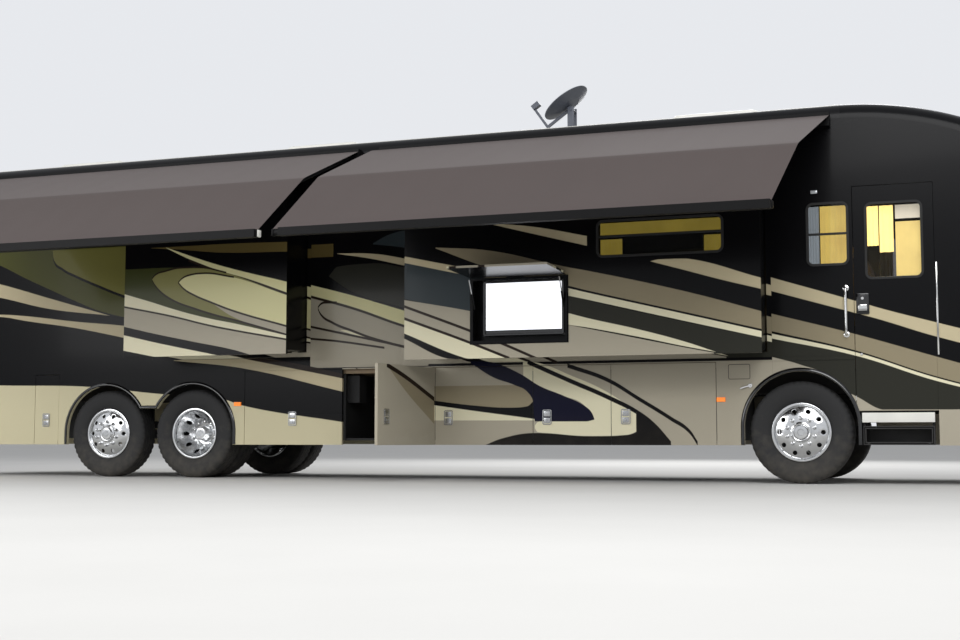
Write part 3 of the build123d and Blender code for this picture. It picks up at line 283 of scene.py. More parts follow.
def ring_section(radius: float, sides: int = 12, flat: float = 1.0) -> list[Point]:
    """The section of a round bar, or of an oval one that is flat times as high as wide."""
    angle = np.linspace(0, 2 * pi, sides, endpoint=False)
    return [(radius * cos(a), radius * flat * sin(a)) for a in angle]


def bar_section(width: float, height: float) -> list[Point]:
    """The section of a rectangular bar with small chamfers, about its middle."""
    w, h, c = width / 2, height / 2, min(width, height) * 0.2
    top = [(w, h - c), (w - c, h), (c - w, h), (-w, h - c)]
    return top + [(-x, -y) for x, y in top]


def rounded_loop(x: Point, z: Point, y: float, radius: float, steps: int = 6) -> Array:
    """The points round a rectangle with rounded corners in a side wall's plane.

    Args:
        x: the low and the high end along the coach.
        z: the bottom and the top.
        y: the distance from the centre plane.
        radius: the radius of the corners.
        steps: the number of runs in each corner.

    Returns:
        The points, counter-clockwise in X and Z.
    """
    quarter = np.linspace(0, pi / 2, steps + 1)
    corners = [(x[1] - radius, z[1] - radius), (x[0] + radius, z[1] - radius)]
    corners += [(x[0] + radius, z[0] + radius), (x[1] - radius, z[0] + radius)]
    rows = []
    for n, (cx, cz) in enumerate(corners):
        angle = quarter + n * pi / 2
        along, up = cx + radius * np.cos(angle), cz + radius * np.sin(angle)
        rows.append(np.stack([along, np.full_like(angle, y), up], 1))
    return np.concatenate(rows)


def smooth_line(points: Sequence[Sequence[float]], count: int) -> Array:
    """A smooth line through the given points: each run is a Catmull-Rom cubic of its four neighbours."""
    p = np.asarray(points, float)
    p = np.concatenate([2 * p[:1] - p[1:2], p, 2 * p[-1:] - p[-2:-1]])
    t = np.linspace(0, len(p) - 3, count)
    k = np.minimum(t.astype(int), len(p) - 4)
    f = (t - k)[:, None]
    a, b, c, d = p[k], p[k + 1], p[k + 2], p[k + 3]
    return 0.5 * (2 * b + (c - a) * f + (2 * a - 5 * b + 4 * c - d) * f**2 + (3 * b - a - 3 * c + d) * f**3)


# Materials


def linear(red: int, green: int, blue: int) -> Colour:
    """Turns a colour read on a screen, 0 to 255, into the linear one that shaders take."""
    tone = [c / 255 / 12.92 if c <= 10 else ((c / 255 + 0.055) / 1.055) ** 2.4 for c in (red, green, blue)]
    return (*tone, 1.0)


def shade(colour: Sequence[float], share: float) -> Colour:
    """A colour made darker or lighter by a share."""
    return (*(min(1.0, c * share) for c in colour[:3]), 1.0)


class Value:
    """A number in a material's graph. Python's operators on it add Math nodes."""

    def __init__(self, graph: "Graph", socket: Any) -> None:
        """Wraps one output socket of the graph."""
        self.graph, self.socket = graph, socket

    def __add__(self, other: Number) -> "Value":
        """Adds."""
        return self.graph.math("ADD", self, other)

    def __mul__(self, other: Number) -> "Value":
        """Multiplies."""
        return self.graph.math("MULTIPLY", self, other)

    def __sub__(self, other: Number) -> "Value":
        """Subtracts the other from this."""
        return self.graph.math("SUBTRACT", self, other)

    def __rsub__(self, other: Number) -> "Value":
        """Subtracts this from the other."""
        return self.graph.math("SUBTRACT", other, self)

    def __truediv__(self, other: Number) -> "Value":
        """Divides this by the other."""
        return self.graph.math("DIVIDE", self, other)

    __radd__ = __add__
    __rmul__ = __mul__

    def step(self, width: float) -> "Value":
        """Goes from 0 to 1 while this goes from -width / 2 to width / 2."""
        return self.graph.math("MULTIPLY_ADD", self, 1 / width, 0.5, clamp=True)


class Graph:
    """One material's nodes, with its shader and the helpers that add to them."""

    def __init__(self, name: str) -> None:
        """Makes an empty material with one Principled shader."""
        self.material = bpy.data.materials.new(name)
        self.material.use_nodes = True
        self.tree = self.material.node_tree
        self.tree.nodes.clear()
        self.shader = self.node("ShaderNodeBsdfPrincipled", {}, {})
        self.node("ShaderNodeOutputMaterial", {}, {"Surface": self.shader.outputs[0]})

    def node(self, kind: str, settings: dict[str, Any], inputs: dict[Any, Any]) -> Any:
        """Adds one node.

        Args:
            kind: the node's type.
            settings: its properties, of which "points" are a curve's pairs of x and y.
            inputs: what each socket, by name or number, is set to or linked from.

        Returns:
            The node.
        """
        node = self.tree.nodes.new(kind)
        for key, value in settings.items():
            if key == "points":
                self._fill_curve(node, value)
            else:
                setattr(node, key, value)
        for key, value in inputs.items():
            self.feed(node.inputs[key], value)
        return node

    @staticmethod
    def _fill_curve(node: Any, points: Sequence[Point]) -> None:
        """Puts smooth points into a Float Curve node."""
        curve = node.mapping.curves[0]
        while len(curve.points) < len(points):
            curve.points.new(0.5, 0.5)
        for spot, (x, y) in zip(curve.points, points):
            spot.location = (x, y)
            spot.handle_type = "AUTO_CLAMPED"
        node.mapping.update()

    def feed(self, socket: Any, value: Any) -> None:
        """Sets a socket, or links it from a value or another socket."""
        if isinstance(value, Value):
            value = value.socket
        if isinstance(value, bpy.types.NodeSocket):
            self.tree.links.new(value, socket)
        else:
            socket.default_value = value

    def math(self, operation: str, *values: Number, clamp: bool = False) -> Value:
        """Adds a Math node and returns its result."""
        settings = {"operation": operation, "use_clamp": clamp}
        return Value(self, self.node("ShaderNodeMath", settings, dict(enumerate(values))).outputs[0])

    def mix(self, factor: Number, first: Any, second: Any) -> Any:
        """Mixes two colours: the first where the factor is 0, the second where it is 1."""
        inputs = {0: factor, 6: first, 7: second}
        return self.node("ShaderNodeMix", {"data_type": "RGBA"}, inputs).outputs[2]

    def place(self, origin: Sequence[float] = (0, 0, 0), turn: Sequence[float] = (0, 0, 0)) -> Any:
        """Object coordinates after a turn about the origin and a move, as one vector socket."""
        place = self.node("ShaderNodeTexCoord", {}, {}).outputs["Object"]
        inputs = {"Vector": place, "Location": origin, "Rotation": turn}
        return self.node("ShaderNodeMapping", {"vector_type": "POINT"}, inputs).outputs[0]

    def normal(self) -> Any:
        """The surface's own direction, as one vector socket."""
        return self.node("ShaderNodeTexCoord", {}, {}).outputs["Normal"]

    def split(self, vector: Any) -> list[Value]:
        """The three numbers of a vector."""
        return [Value(self, s) for s in self.node("ShaderNodeSeparateXYZ", {}, {0: vector}).outputs]

    def noise(
        self, vector: Any, scale: float, detail: float = 3.0, stretch: Sequence[float] = (1, 1, 1)
    ) -> Value:
        """Cloudy noise around 0.5, stretched along the axes."""
        if tuple(stretch) != (1, 1, 1):
            vector = self.node("ShaderNodeMapping", {}, {"Vector": vector, "Scale": stretch}).outputs[0]
        inputs = {"Vector": vector, "Scale": scale, "Detail": detail}
        return Value(self, self.node("ShaderNodeTexNoise", {}, inputs).outputs[0])

    def bump(self, height: Number, distance: float, strength: float = 1.0) -> None:
        """Lets a height in parts of the distance bend the shader's normal."""
        inputs = {"Height": height, "Distance": distance, "Strength": strength}
        self.set("Normal", self.node("ShaderNodeBump", {}, inputs).outputs[0])

    def set(self, socket: str, value: Any) -> None:
        """Sets or links one socket of the shader."""
        self.feed(self.shader.inputs[socket], value)


@dataclass(frozen=True)
class Finish:
    """A painted, moulded or metal surface, with a fine grain and faint blotches.

    Attributes:
        name: what the material is called.
        colour: its linear colour.
        roughness: how rough it is.
        metallic: 1 for bare metal.
        coat: how much clear lacquer it has.
        blotch: how far the blotches change its colour and roughness.
        blotch_scale: how many blotches there are to a metre.
        grain_scale: how many grains there are to a metre.
        grain_height: how high the grain stands, in metres.
        stretch: how much finer the grain is along each axis.
        emission: how strongly it glows.
        alpha: how opaque it is.
        specular: how much it mirrors, 0.5 for common plastics.
    """

    name: str
    colour: Colour
    roughness: float = 0.4
    metallic: float = 0.0
    coat: float = 0.0
    blotch: float = 0.08
    blotch_scale: float = 6.0
    grain_scale: float = 400.0
    grain_height: float = 0.0001
    stretch: Spot = (1, 1, 1)
    emission: float = 0.0
    alpha: float = 1.0
    specular: float = 0.5

    def material(self) -> Any:
        """Builds the material once and returns it."""
        name = "coach_" + self.name
        known = bpy.data.materials.get(name)
        if known:
            return known
        graph = Graph(name)
        self.paint(graph)
        return graph.material

    def paint(self, graph: Graph) -> None:
        """Adds this finish's nodes: noise shifts the colour and the roughness, and raises the grain."""
        here = graph.place()
        clouds = graph.noise(here, self.blotch_scale)
        dark, light = (shade(self.colour, 1 + sign * 2 * self.blotch) for sign in (-1, 1))
        graph.set("Base Color", graph.mix(clouds, dark, light))
        fine = graph.noise(here, self.grain_scale, 2.0, self.stretch)
        graph.set("Roughness", self.roughness + (clouds - 0.5) * self.blotch + (fine - 0.5) * 0.05)
        graph.set("Metallic", self.metallic)
        graph.set("Coat Weight", self.coat)
        graph.set("Coat Roughness", 0.05)
        graph.set("Alpha", self.alpha)
        graph.set("Specular IOR Level", self.specular)
        graph.bump(fine, self.grain_height)
        # Glow: on the window cloths this is painted cabin lamplight; on the screen it is the picture.
        if self.emission:
            graph.set("Emission Color", graph.mix(clouds, dark, light))
            graph.set("Emission Strength", self.emission)


@dataclass(frozen=True)
class Cloth(Finish):
    """Woven cloth: two crossed ridges, one thread apart, on the piece's own UV map in metres.

    Attributes:
        thread: the distance from one thread to the next.
        band: the colour of a lighter band across the top: painted light on the better lit upper run.
        band_edge: how far down the band reaches.
    """

    thread: float = 0.0016
    band: Colour | None = None
    band_edge: float = 0.0

    def paint(self, graph: Graph) -> None:
        """Adds the weave, and where there is one, a lighter band of painted light across the top."""
        uv = graph.node("ShaderNodeUVMap", {"uv_map": "cloth"}, {}).outputs[0]
        u, v, _ = graph.split(uv)
        ridges = [graph.math("SINE", w * (2 * pi / self.thread)) for w in (u, v)]
        weave = graph.math("MAXIMUM", *ridges)
        here = graph.place()
        clouds = graph.noise(here, 1.2, 4.0)
        colour = graph.mix(clouds, shade(self.colour, 0.9), self.colour)
        if self.band:
            # Painted light: the run above the knee is drawn lighter, as if it caught more light.
            colour = graph.mix((self.band_edge - v).step(0.02), colour, self.band)
        graph.set("Base Color", graph.mix((weave + 1) * 0.06, colour, (0.02, 0.02, 0.02, 1)))
        graph.set("Roughness", self.roughness)
        graph.set("Sheen Weight", 0.05)
        graph.set("Specular IOR Level", 0.2)
        graph.bump(weave * 0.5 + clouds, 0.0004, 0.5)


@dataclass(frozen=True)
class Leather(Finish):
    """Leather: a cell pattern for its grain, and lighter tops."""

    def paint(self, graph: Graph) -> None:
        """Adds the grain, whose creases are darker and deeper than its tops."""
        here = graph.place()
        inputs = {"Vector": here, "Scale": 350.0}
        cells = graph.node("ShaderNodeTexVoronoi", {"feature": "DISTANCE_TO_EDGE"}, inputs)
        crease = (Value(graph, cells.outputs[0]) - 0.08).step(0.1)
        clouds = graph.noise(here, 9.0)
        tops = crease * 0.6 + clouds * 0.4
        graph.set("Base Color", graph.mix(tops, shade(self.colour, 0.75), self.colour))
        graph.set("Roughness", self.roughness + clouds * 0.12)
        graph.bump(crease + clouds * 0.5, 0.0004, 0.6)


@dataclass(frozen=True)
class TyreRubber(Finish):
    """Tyre rubber, with a fine grain and dust that gathers low on it."""

    dust: Colour = linear(120, 112, 98)

    def paint(self, graph: Graph) -> None:
        """Adds a dusty film over black rubber."""
        here = graph.place()
        dust = graph.noise(here, 11.0, 5.0)
        fine = graph.noise(here, 260.0, 2.0)
        low = graph.split(here)[2]
        film = graph.math("MAXIMUM", (dust * 0.7 + (0.35 - low) * 0.5 - 0.25) * 0.6, 0.0)
        graph.set("Base Color", graph.mix(film, self.colour, self.dust))
        graph.set("Roughness", self.roughness + (fine - 0.5) * 0.2)
        graph.bump(fine + dust, 0.0008, 0.5)


BLACK_METAL = Finish("black_powder_coat", linear(10, 10, 11), 0.5, grain_height=0.0002, specular=0.12)
CHASSIS = Finish("chassis_black", linear(34, 33, 32), 0.6, blotch=0.2, blotch_scale=14, grain_height=0.0004)
CASTING = Finish("painted_casting", linear(74, 76, 78), 0.6, 0.4, blotch=0.2, grain_height=0.0006)
BAY_LINER = Finish("bay_liner", linear(22, 22, 23), 0.8, blotch=0.15, grain_scale=900, grain_height=0.0006)
CLEAR_LENS = Finish("clear_lens", linear(196, 200, 204), 0.08, 0.3, coat=1.0)
DASH = Finish("dash_moulding", linear(52, 47, 42), 0.55, grain_scale=700, grain_height=0.0005)
HIDE = Leather("seat_leather", linear(176, 148, 110), 0.45)
WHITE_COVER = Finish("roof_white", linear(226, 225, 218), 0.35, blotch=0.05, grain_height=0.0002)
SEAL = Finish("rubber_seal", linear(20, 20, 20), 0.7, blotch=0.15, grain_height=0.0003)
TYRE_BLACK = TyreRubber("tyre_rubber", linear(30, 30, 31), 0.75)
POLISHED = Finish("polished_aluminium", linear(206, 207, 208), 0.16, 1.0, blotch=0.06, blotch_scale=25)
CHROME = Finish("bright_trim", linear(214, 214, 212), 0.08, 1.0, blotch=0.03)
MIRROR_GLASS = Finish("mirror_glass", linear(220, 222, 224), 0.02, 1.0, blotch=0.01, grain_height=0.0)
STEEL = Finish("ground_steel", linear(170, 171, 172), 0.25, 1.0, stretch=(1, 30, 30))
BLACK_GLOSS = Finish("black_gloss_plastic", linear(12, 12, 13), 0.12, coat=0.5)
DISH_GREY = Finish("dish_grey", linear(72, 76, 86), 0.45, blotch=0.05, grain_height=0.0002)
GLASS = Finish("tinted_glass", linear(22, 24, 24), 0.03, alpha=0.62, blotch=0.02, grain_height=0.0)
LIT_GLASS = Finish("lit_window_glass", linear(60, 56, 48), 0.03, alpha=0.12, blotch=0.02, grain_height=0.0)
# These window cloths glow: their emission is painted cabin lamplight shining through them, not lamps.
WARM_CLOTH = Finish("lit_blind", linear(236, 206, 128), 0.8, emission=0.75, blotch=0.12, blotch_scale=4)
PALE_CLOTH = Finish("lit_shade", linear(226, 216, 196), 0.8, emission=0.6, blotch=0.06)
BRIGHT_CLOTH = Finish("lit_curtain", linear(244, 212, 132), 0.8, emission=1.6, blotch=0.1, blotch_scale=5)
DIM_CLOTH = Finish("dim_blind", linear(204, 180, 78), 0.8, emission=1.5, blotch=0.16, blotch_scale=3)
SALOON_CLOTH = Finish(
    "saloon_curtain", linear(246, 204, 112), 0.8, emission=4.2, blotch=0.14, blotch_scale=5
)
SALOON_SHADE = Finish("saloon_shade", linear(176, 184, 190), 0.8, emission=2.2, blotch=0.1)
GREY_CLOTH = Finish("grey_blind", linear(150, 148, 142), 0.8, blotch=0.06)
PICTURE = Finish("lit_screen", linear(246, 248, 255), 0.2, emission=1.1, blotch=0.01)
# The lighter band is painted light on the upper run, which ends at the knee 1.44 m down the cloth.
CANVAS = Cloth("awning_cloth", linear(84, 75, 73), 0.8, band=linear(95, 87, 85), band_edge=1.44)
ROAD_DUST = linear(128, 116, 98)


class Paint(Enum):
    """The colours of the body paint."""

    BLACK = linear(10, 10, 12)
    NAVY = linear(12, 13, 36)
    BROWN = linear(38, 29, 24)
    BRONZE = linear(92, 80, 46)
    CHARCOAL = linear(46, 46, 40)
    SLATE = linear(50, 58, 62)
    GREY_GREEN = linear(60, 64, 32)
    OLIVE = linear(80, 81, 40)
    GOLD = linear(122, 119, 64)
    PALE_GOLD = linear(134, 131, 82)
    CHAMPAGNE = linear(146, 136, 112)
    TAUPE = linear(172, 165, 148)
    TAN = linear(196, 184, 152)
    SAND = linear(204, 196, 164)
    CREAM = linear(228, 222, 192)
    YELLOW = linear(222, 217, 166)


@dataclass(frozen=True)
class Band:
    """One stripe of the body paint, between two edges.

    Attributes:
        paint: its colour.
        upper: the points of its upper edge, as distance ahead of the front axle and height.
        lower: the points of its lower edge.
    """

    paint: Paint
    upper: tuple[Point, ...]
    lower: tuple[Point, ...]

    @property
    def x(self) -> Point:
        """The low and the high end of the band along the coach."""
        ends = self.upper + self.lower
        return min(p[0] for p in ends), max(p[0] for p in ends)

    @property
    def z(self) -> Point:
        """The lowest and the highest point of the band."""
        ends = self.upper + self.lower
        return min(p[1] for p in ends), max(p[1] for p in ends)


def line_band(paint: Paint, width: float, *points: Point) -> Band:
    """A band of one width that hangs under a line."""
    return Band(paint, points, tuple((x, z - width) for x, z in points))


def flat(z: float, x0: float, x1: float) -> tuple[Point, ...]:
    """A level edge between two places along the coach."""
    return ((x0, z), (x1, z))


GOLD_EDGE = (
    (-9.13, 2.80), (-9.11, 2.69), (-8.97, 2.57), (-8.76, 2.47), (-8.49, 2.36), (-8.09, 2.21), (-7.65, 2.08),
)
CREAM_FOOT = ((-7.65, 2.0), (-7.0, 1.87), (-6.5, 1.75), (-6.2, 1.69), (-5.53, 1.57))
YELLOW_FOOT = ((-5.53, 2.10), (-5.0, 1.95), (-4.37, 1.73), (-4.06, 1.64))
STEP_EDGE = (
    (-0.27, 1.29), (0.0, 1.21), (0.30, 1.08), (0.40, 0.97), (0.57, 0.87), (0.80, 0.745), (2.3, 0.74),
)
REAR_WALL = (
    Band(Paint.OLIVE, ((-10.4, 2.81), (-7.6, 2.81), (-7.0, 2.43)),
         ((-10.4, 2.80), (-9.93, 2.65), (-9.53, 2.47), (-9.15, 2.31), (-8.76, 2.15), (-8.38, 2.01),
          (-7.65, 1.87), (-7.0, 1.80))),
    Band(Paint.GOLD, ((-9.13, 2.80), (-7.6, 2.80), (-7.0, 2.43)), GOLD_EDGE + ((-7.0, 2.0),)),
    line_band(Paint.BLACK, 0.032, *GOLD_EDGE),
    Band(Paint.TAN, ((-10.85, 2.62), (-9.92, 2.41), (-9.15, 2.20), (-8.27, 1.96)),
         ((-10.85, 2.40), (-9.92, 2.24), (-9.15, 2.07), (-8.27, 1.96))),
    Band(Paint.TAN, ((-10.85, 2.04), (-9.86, 2.02), (-9.5, 1.99), (-8.76, 1.90), (-8.07, 1.83),
          (-7.65, 1.77)),
         ((-10.85, 2.03), (-9.86, 1.99), (-9.5, 1.93), (-8.76, 1.82), (-8.07, 1.685), (-7.65, 1.60))),
)
REAR_SLIDE = (
    Band(Paint.BRONZE, ((-7.3, 2.67), (-6.9, 2.668), (-6.4, 2.67), (-5.53, 2.655)),
         ((-7.3, 2.665), (-6.9, 2.63), (-6.4, 2.575), (-5.53, 2.545))),
    Band(Paint.GREY_GREEN, ((-7.65, 2.43), (-7.3, 2.43), (-6.9, 2.42), (-6.4, 2.37), (-5.53, 2.09)),
         ((-7.65, 2.14), (-7.3, 2.04), (-6.9, 1.92), (-6.5, 1.82), (-6.2, 1.76), (-5.53, 1.61))),
    Band(Paint.YELLOW, ((-7.1, 2.665), (-6.8, 2.56), (-6.4, 2.43), (-5.53, 2.205)),
         ((-7.1, 2.66), (-6.8, 2.52), (-6.4, 2.37), (-6.0, 2.25), (-5.53, 2.085))),
    line_band(Paint.BROWN, 0.03, (-6.8, 2.52), (-6.4, 2.37), (-6.0, 2.25), (-5.53, 2.085)),
    Band(Paint.PALE_GOLD, ((-7.28, 2.30), (-7.24, 2.35), (-7.1, 2.39), (-6.9, 2.42), (-6.6, 2.41),
          (-5.53, 2.06)),
         ((-7.28, 2.30), (-7.24, 2.24), (-7.0, 2.06), (-6.7, 1.95), (-6.4, 1.86), (-6.2, 1.81),
          (-5.53, 1.625))),
    Band(Paint.TAUPE, ((-6.5, 2.02), (-6.2, 1.91), (-5.53, 1.72)),
         ((-6.5, 2.01), (-6.2, 1.83), (-5.53, 1.62))),
    line_band(Paint.BROWN, 0.022, (-7.28, 2.30), (-7.24, 2.24), (-7.15, 2.15), (-7.0, 2.06),
              (-6.7, 1.95), (-6.4, 1.86), (-6.2, 1.81), (-5.53, 1.625)),
    line_band(Paint.BROWN, 0.02, (-7.28, 2.32), (-7.24, 2.36), (-7.1, 2.40), (-6.9, 2.43), (-6.6, 2.42),
              (-6.3, 2.35)),
    Band(Paint.YELLOW, ((-6.92, 2.25), (-6.88, 2.29), (-6.76, 2.33), (-6.6, 2.34), (-6.2, 2.28),
          (-5.53, 2.055)),
         ((-6.92, 2.25), (-6.86, 2.19), (-6.7, 2.10), (-6.5, 2.02), (-6.2, 1.91), (-5.53, 1.72))),
    line_band(Paint.BROWN, 0.02, (-6.93, 2.26), (-6.88, 2.305), (-6.76, 2.345), (-6.6, 2.355),
              (-6.2, 2.295)),
    line_band(Paint.BROWN, 0.022, (-6.93, 2.26), (-6.86, 2.19), (-6.7, 2.10), (-6.5, 2.02),
              (-6.2, 1.91), (-5.53, 1.72)),
    Band(Paint.CREAM, ((-7.65, 2.14), (-7.3, 2.04), (-6.9, 1.92), (-6.5, 1.82), (-6.2, 1.76),
          (-5.53, 1.605)),
         CREAM_FOOT),
    Band(Paint.TAUPE, CREAM_FOOT, flat(1.40, -7.65, -5.53)),
    line_band(Paint.BROWN, 0.02, *CREAM_FOOT),
    Band(Paint.BLACK, ((-7.65, 1.76), (-7.2, 1.66), (-6.7, 1.56), (-6.2, 1.46), (-5.98, 1.40)),
         ((-7.65, 1.66), (-7.2, 1.56), (-6.5, 1.42), (-6.4, 1.40), (-5.98, 1.40))),
    Band(Paint.CREAM, ((-7.65, 1.66), (-7.2, 1.56), (-6.5, 1.42), (-6.4, 1.40)),
         ((-7.65, 1.48), (-7.2, 1.40), (-6.4, 1.40))),
    Band(Paint.BLACK, ((-7.65, 1.48), (-7.2, 1.395)), flat(1.39, -7.65, -7.2)),
)
MIDDLE_WALL = (
    Band(Paint.BRONZE, flat(2.70, -5.53, -5.25), flat(2.55, -5.53, -5.25)),
    Band(Paint.SLATE, ((-4.75, 2.68), (-4.55, 2.77), (-4.06, 2.83)),
         ((-4.75, 2.67), (-4.4, 2.62), (-4.06, 2.55))),
    Band(Paint.CHARCOAL, ((-5.3, 2.33), (-5.2, 2.43), (-4.75, 2.45), (-4.37, 2.39), (-4.06, 2.33)),
         ((-5.3, 2.32), (-5.0, 2.13), (-4.37, 1.93), (-4.06, 1.84))),
    Band(Paint.TAN, ((-5.2, 2.585), (-4.75, 2.56), (-4.37, 2.49), (-4.06, 2.41)),
         ((-5.2, 2.58), (-4.75, 2.50), (-4.37, 2.41), (-4.06, 2.34))),
    Band(Paint.TAUPE, YELLOW_FOOT, flat(1.27, -5.53, -4.06)),
    Band(Paint.YELLOW, ((-5.53, 2.23), (-5.0, 2.09), (-4.37, 1.90), (-4.06, 1.81)), YELLOW_FOOT),
    line_band(Paint.BROWN, 0.03, (-5.53, 2.11), (-5.0, 1.96), (-4.37, 1.74), (-4.06, 1.65)),
    Band(Paint.CREAM, ((-5.15, 1.70), (-5.0, 1.685), (-4.75, 1.61), (-4.55, 1.55)),
         ((-5.15, 1.695), (-5.0, 1.645), (-4.75, 1.585), (-4.55, 1.545))),
    line_band(Paint.BROWN, 0.026, (-5.44, 1.98), (-5.41, 2.015), (-5.34, 2.035), (-5.2, 2.03)),
    line_band(Paint.BROWN, 0.03, (-5.44, 1.97), (-5.41, 1.91), (-5.25, 1.80), (-5.0, 1.70),
              (-4.75, 1.61), (-4.06, 1.43)),
    line_band(Paint.BROWN, 0.026, (-5.53, 1.76), (-5.0, 1.645), (-4.5, 1.535), (-4.38, 1.505)),
    line_band(Paint.BROWN, 0.024, (-5.53, 1.62), (-5.2, 1.585), (-4.6, 1.495)),
)
FRONT_SLIDE = (
    Band(Paint.SLATE, ((-4.06, 2.34), (-3.25, 2.16), (-2.4, 1.98)),
         ((-4.06, 1.95), (-3.3, 1.80), (-2.4, 1.97))),
    Band(Paint.TAN, ((-3.1, 2.72), (-2.6, 2.655), (-2.03, 2.53)),
         ((-3.1, 2.715), (-2.6, 2.58), (-2.03, 2.43))),
    Band(Paint.CHAMPAGNE, ((-3.7, 2.49), (-3.1, 2.43), (-2.25, 2.22), (-2.0, 2.165), (-1.0, 1.917),
          (-0.27, 1.70)),
         ((-3.7, 2.48), (-3.1, 2.25), (-2.25, 2.03), (-2.0, 1.96), (-1.0, 1.70), (-0.27, 1.51))),
    Band(Paint.TAN, ((-4.06, 2.41), (-3.25, 2.23), (-2.9, 2.15)),
         ((-4.06, 2.34), (-3.25, 2.16), (-2.9, 2.10))),
    Band(Paint.CHARCOAL, ((-3.0, 2.09), (-2.35, 1.96), (-2.0, 1.86), (-1.0, 1.61), (-0.27, 1.44)),
         ((-3.0, 2.08), (-2.6, 1.70), (-2.2, 1.29), (-0.27, 1.29))),
    Band(Paint.CREAM, ((-2.8, 2.12), (-2.35, 2.03), (-2.0, 1.94), (-1.0, 1.69), (-0.27, 1.505)),
         ((-2.8, 2.115), (-2.35, 1.955), (-2.0, 1.867), (-1.0, 1.62), (-0.27, 1.443))),
    line_band(Paint.BLACK, 0.02, (-2.35, 2.05), (-2.0, 1.96), (-1.0, 1.71), (-0.27, 1.525)),
    Band(Paint.TAUPE, ((-3.3, 1.60), (-2.25, 1.65), (-2.0, 1.583), (-1.5, 1.47), (-1.0, 1.367),
          (-0.74, 1.31)),
         flat(1.29, -3.3, -0.74)),
    line_band(Paint.BLACK, 0.012, (-2.3, 1.645), (-2.0, 1.583), (-1.5, 1.475), (-1.0, 1.367),
              (-0.74, 1.315)),
    Band(Paint.CREAM, ((-2.9, 1.86), (-2.35, 1.77), (-2.0, 1.677), (-1.5, 1.555), (-1.0, 1.41),
          (-0.72, 1.31)),
         ((-2.9, 1.855), (-2.35, 1.65), (-2.0, 1.583), (-1.5, 1.48), (-1.0, 1.367), (-0.72, 1.31))),
    Band(Paint.TAUPE, ((-4.06, 1.94), (-3.3, 1.795), (-2.9, 1.70), (-2.5, 1.40)),
         flat(1.29, -4.06, -2.5)),
    Band(Paint.CREAM, ((-4.06, 1.744), (-3.3, 1.46), (-2.87, 1.30)),
         ((-4.06, 1.575), (-3.37, 1.30), (-2.87, 1.29))),
    line_band(Paint.BROWN, 0.03, (-4.06, 1.885), (-3.3, 1.60), (-2.95, 1.46), (-2.56, 1.29)),
    line_band(Paint.BROWN, 0.03, (-4.06, 1.755), (-3.3, 1.475), (-2.87, 1.305)),
    Band(Paint.TAUPE, ((-4.06, 1.53), (-3.56, 1.30)), flat(1.29, -4.06, -3.56)),
    Band(Paint.BLACK, ((-4.06, 1.58), (-3.37, 1.305), (-3.3, 1.29)),
         ((-4.06, 1.525), (-3.56, 1.30), (-3.3, 1.29))),
    Band(Paint.TAN, ((-1.37, 2.24), (-1.28, 2.255), (-1.0, 2.25), (-0.27, 2.03)),
         ((-1.37, 2.24), (-1.0, 2.13), (-0.67, 2.03), (-0.27, 1.92))),
)
FRONT_WALL = (
    Band(Paint.CHARCOAL, ((-0.27, 1.48), (0.57, 1.283), (1.33, 1.02), (2.3, 0.76)), STEP_EDGE),
    Band(Paint.TAN, ((-0.27, 2.11), (0.65, 1.81), (0.78, 1.765), (1.33, 1.60), (2.3, 1.32)),
         ((-0.27, 1.97), (0.65, 1.69), (0.78, 1.65), (1.33, 1.46), (2.3, 1.19))),
    Band(Paint.CHAMPAGNE, ((-0.27, 1.735), (0.57, 1.50), (1.33, 1.26), (2.3, 0.96)),
         ((-0.27, 1.55), (0.57, 1.33), (1.33, 1.05), (2.3, 0.80))),
    line_band(Paint.BLACK, 0.02, (-0.27, 1.555), (0.57, 1.335), (1.33, 1.065), (2.3, 0.81)),
    Band(Paint.CREAM, ((-0.27, 1.53), (0.57, 1.317), (1.33, 1.05), (2.3, 0.79)),
         ((-0.27, 1.48), (0.57, 1.283), (1.33, 1.02), (2.3, 0.775))),
)
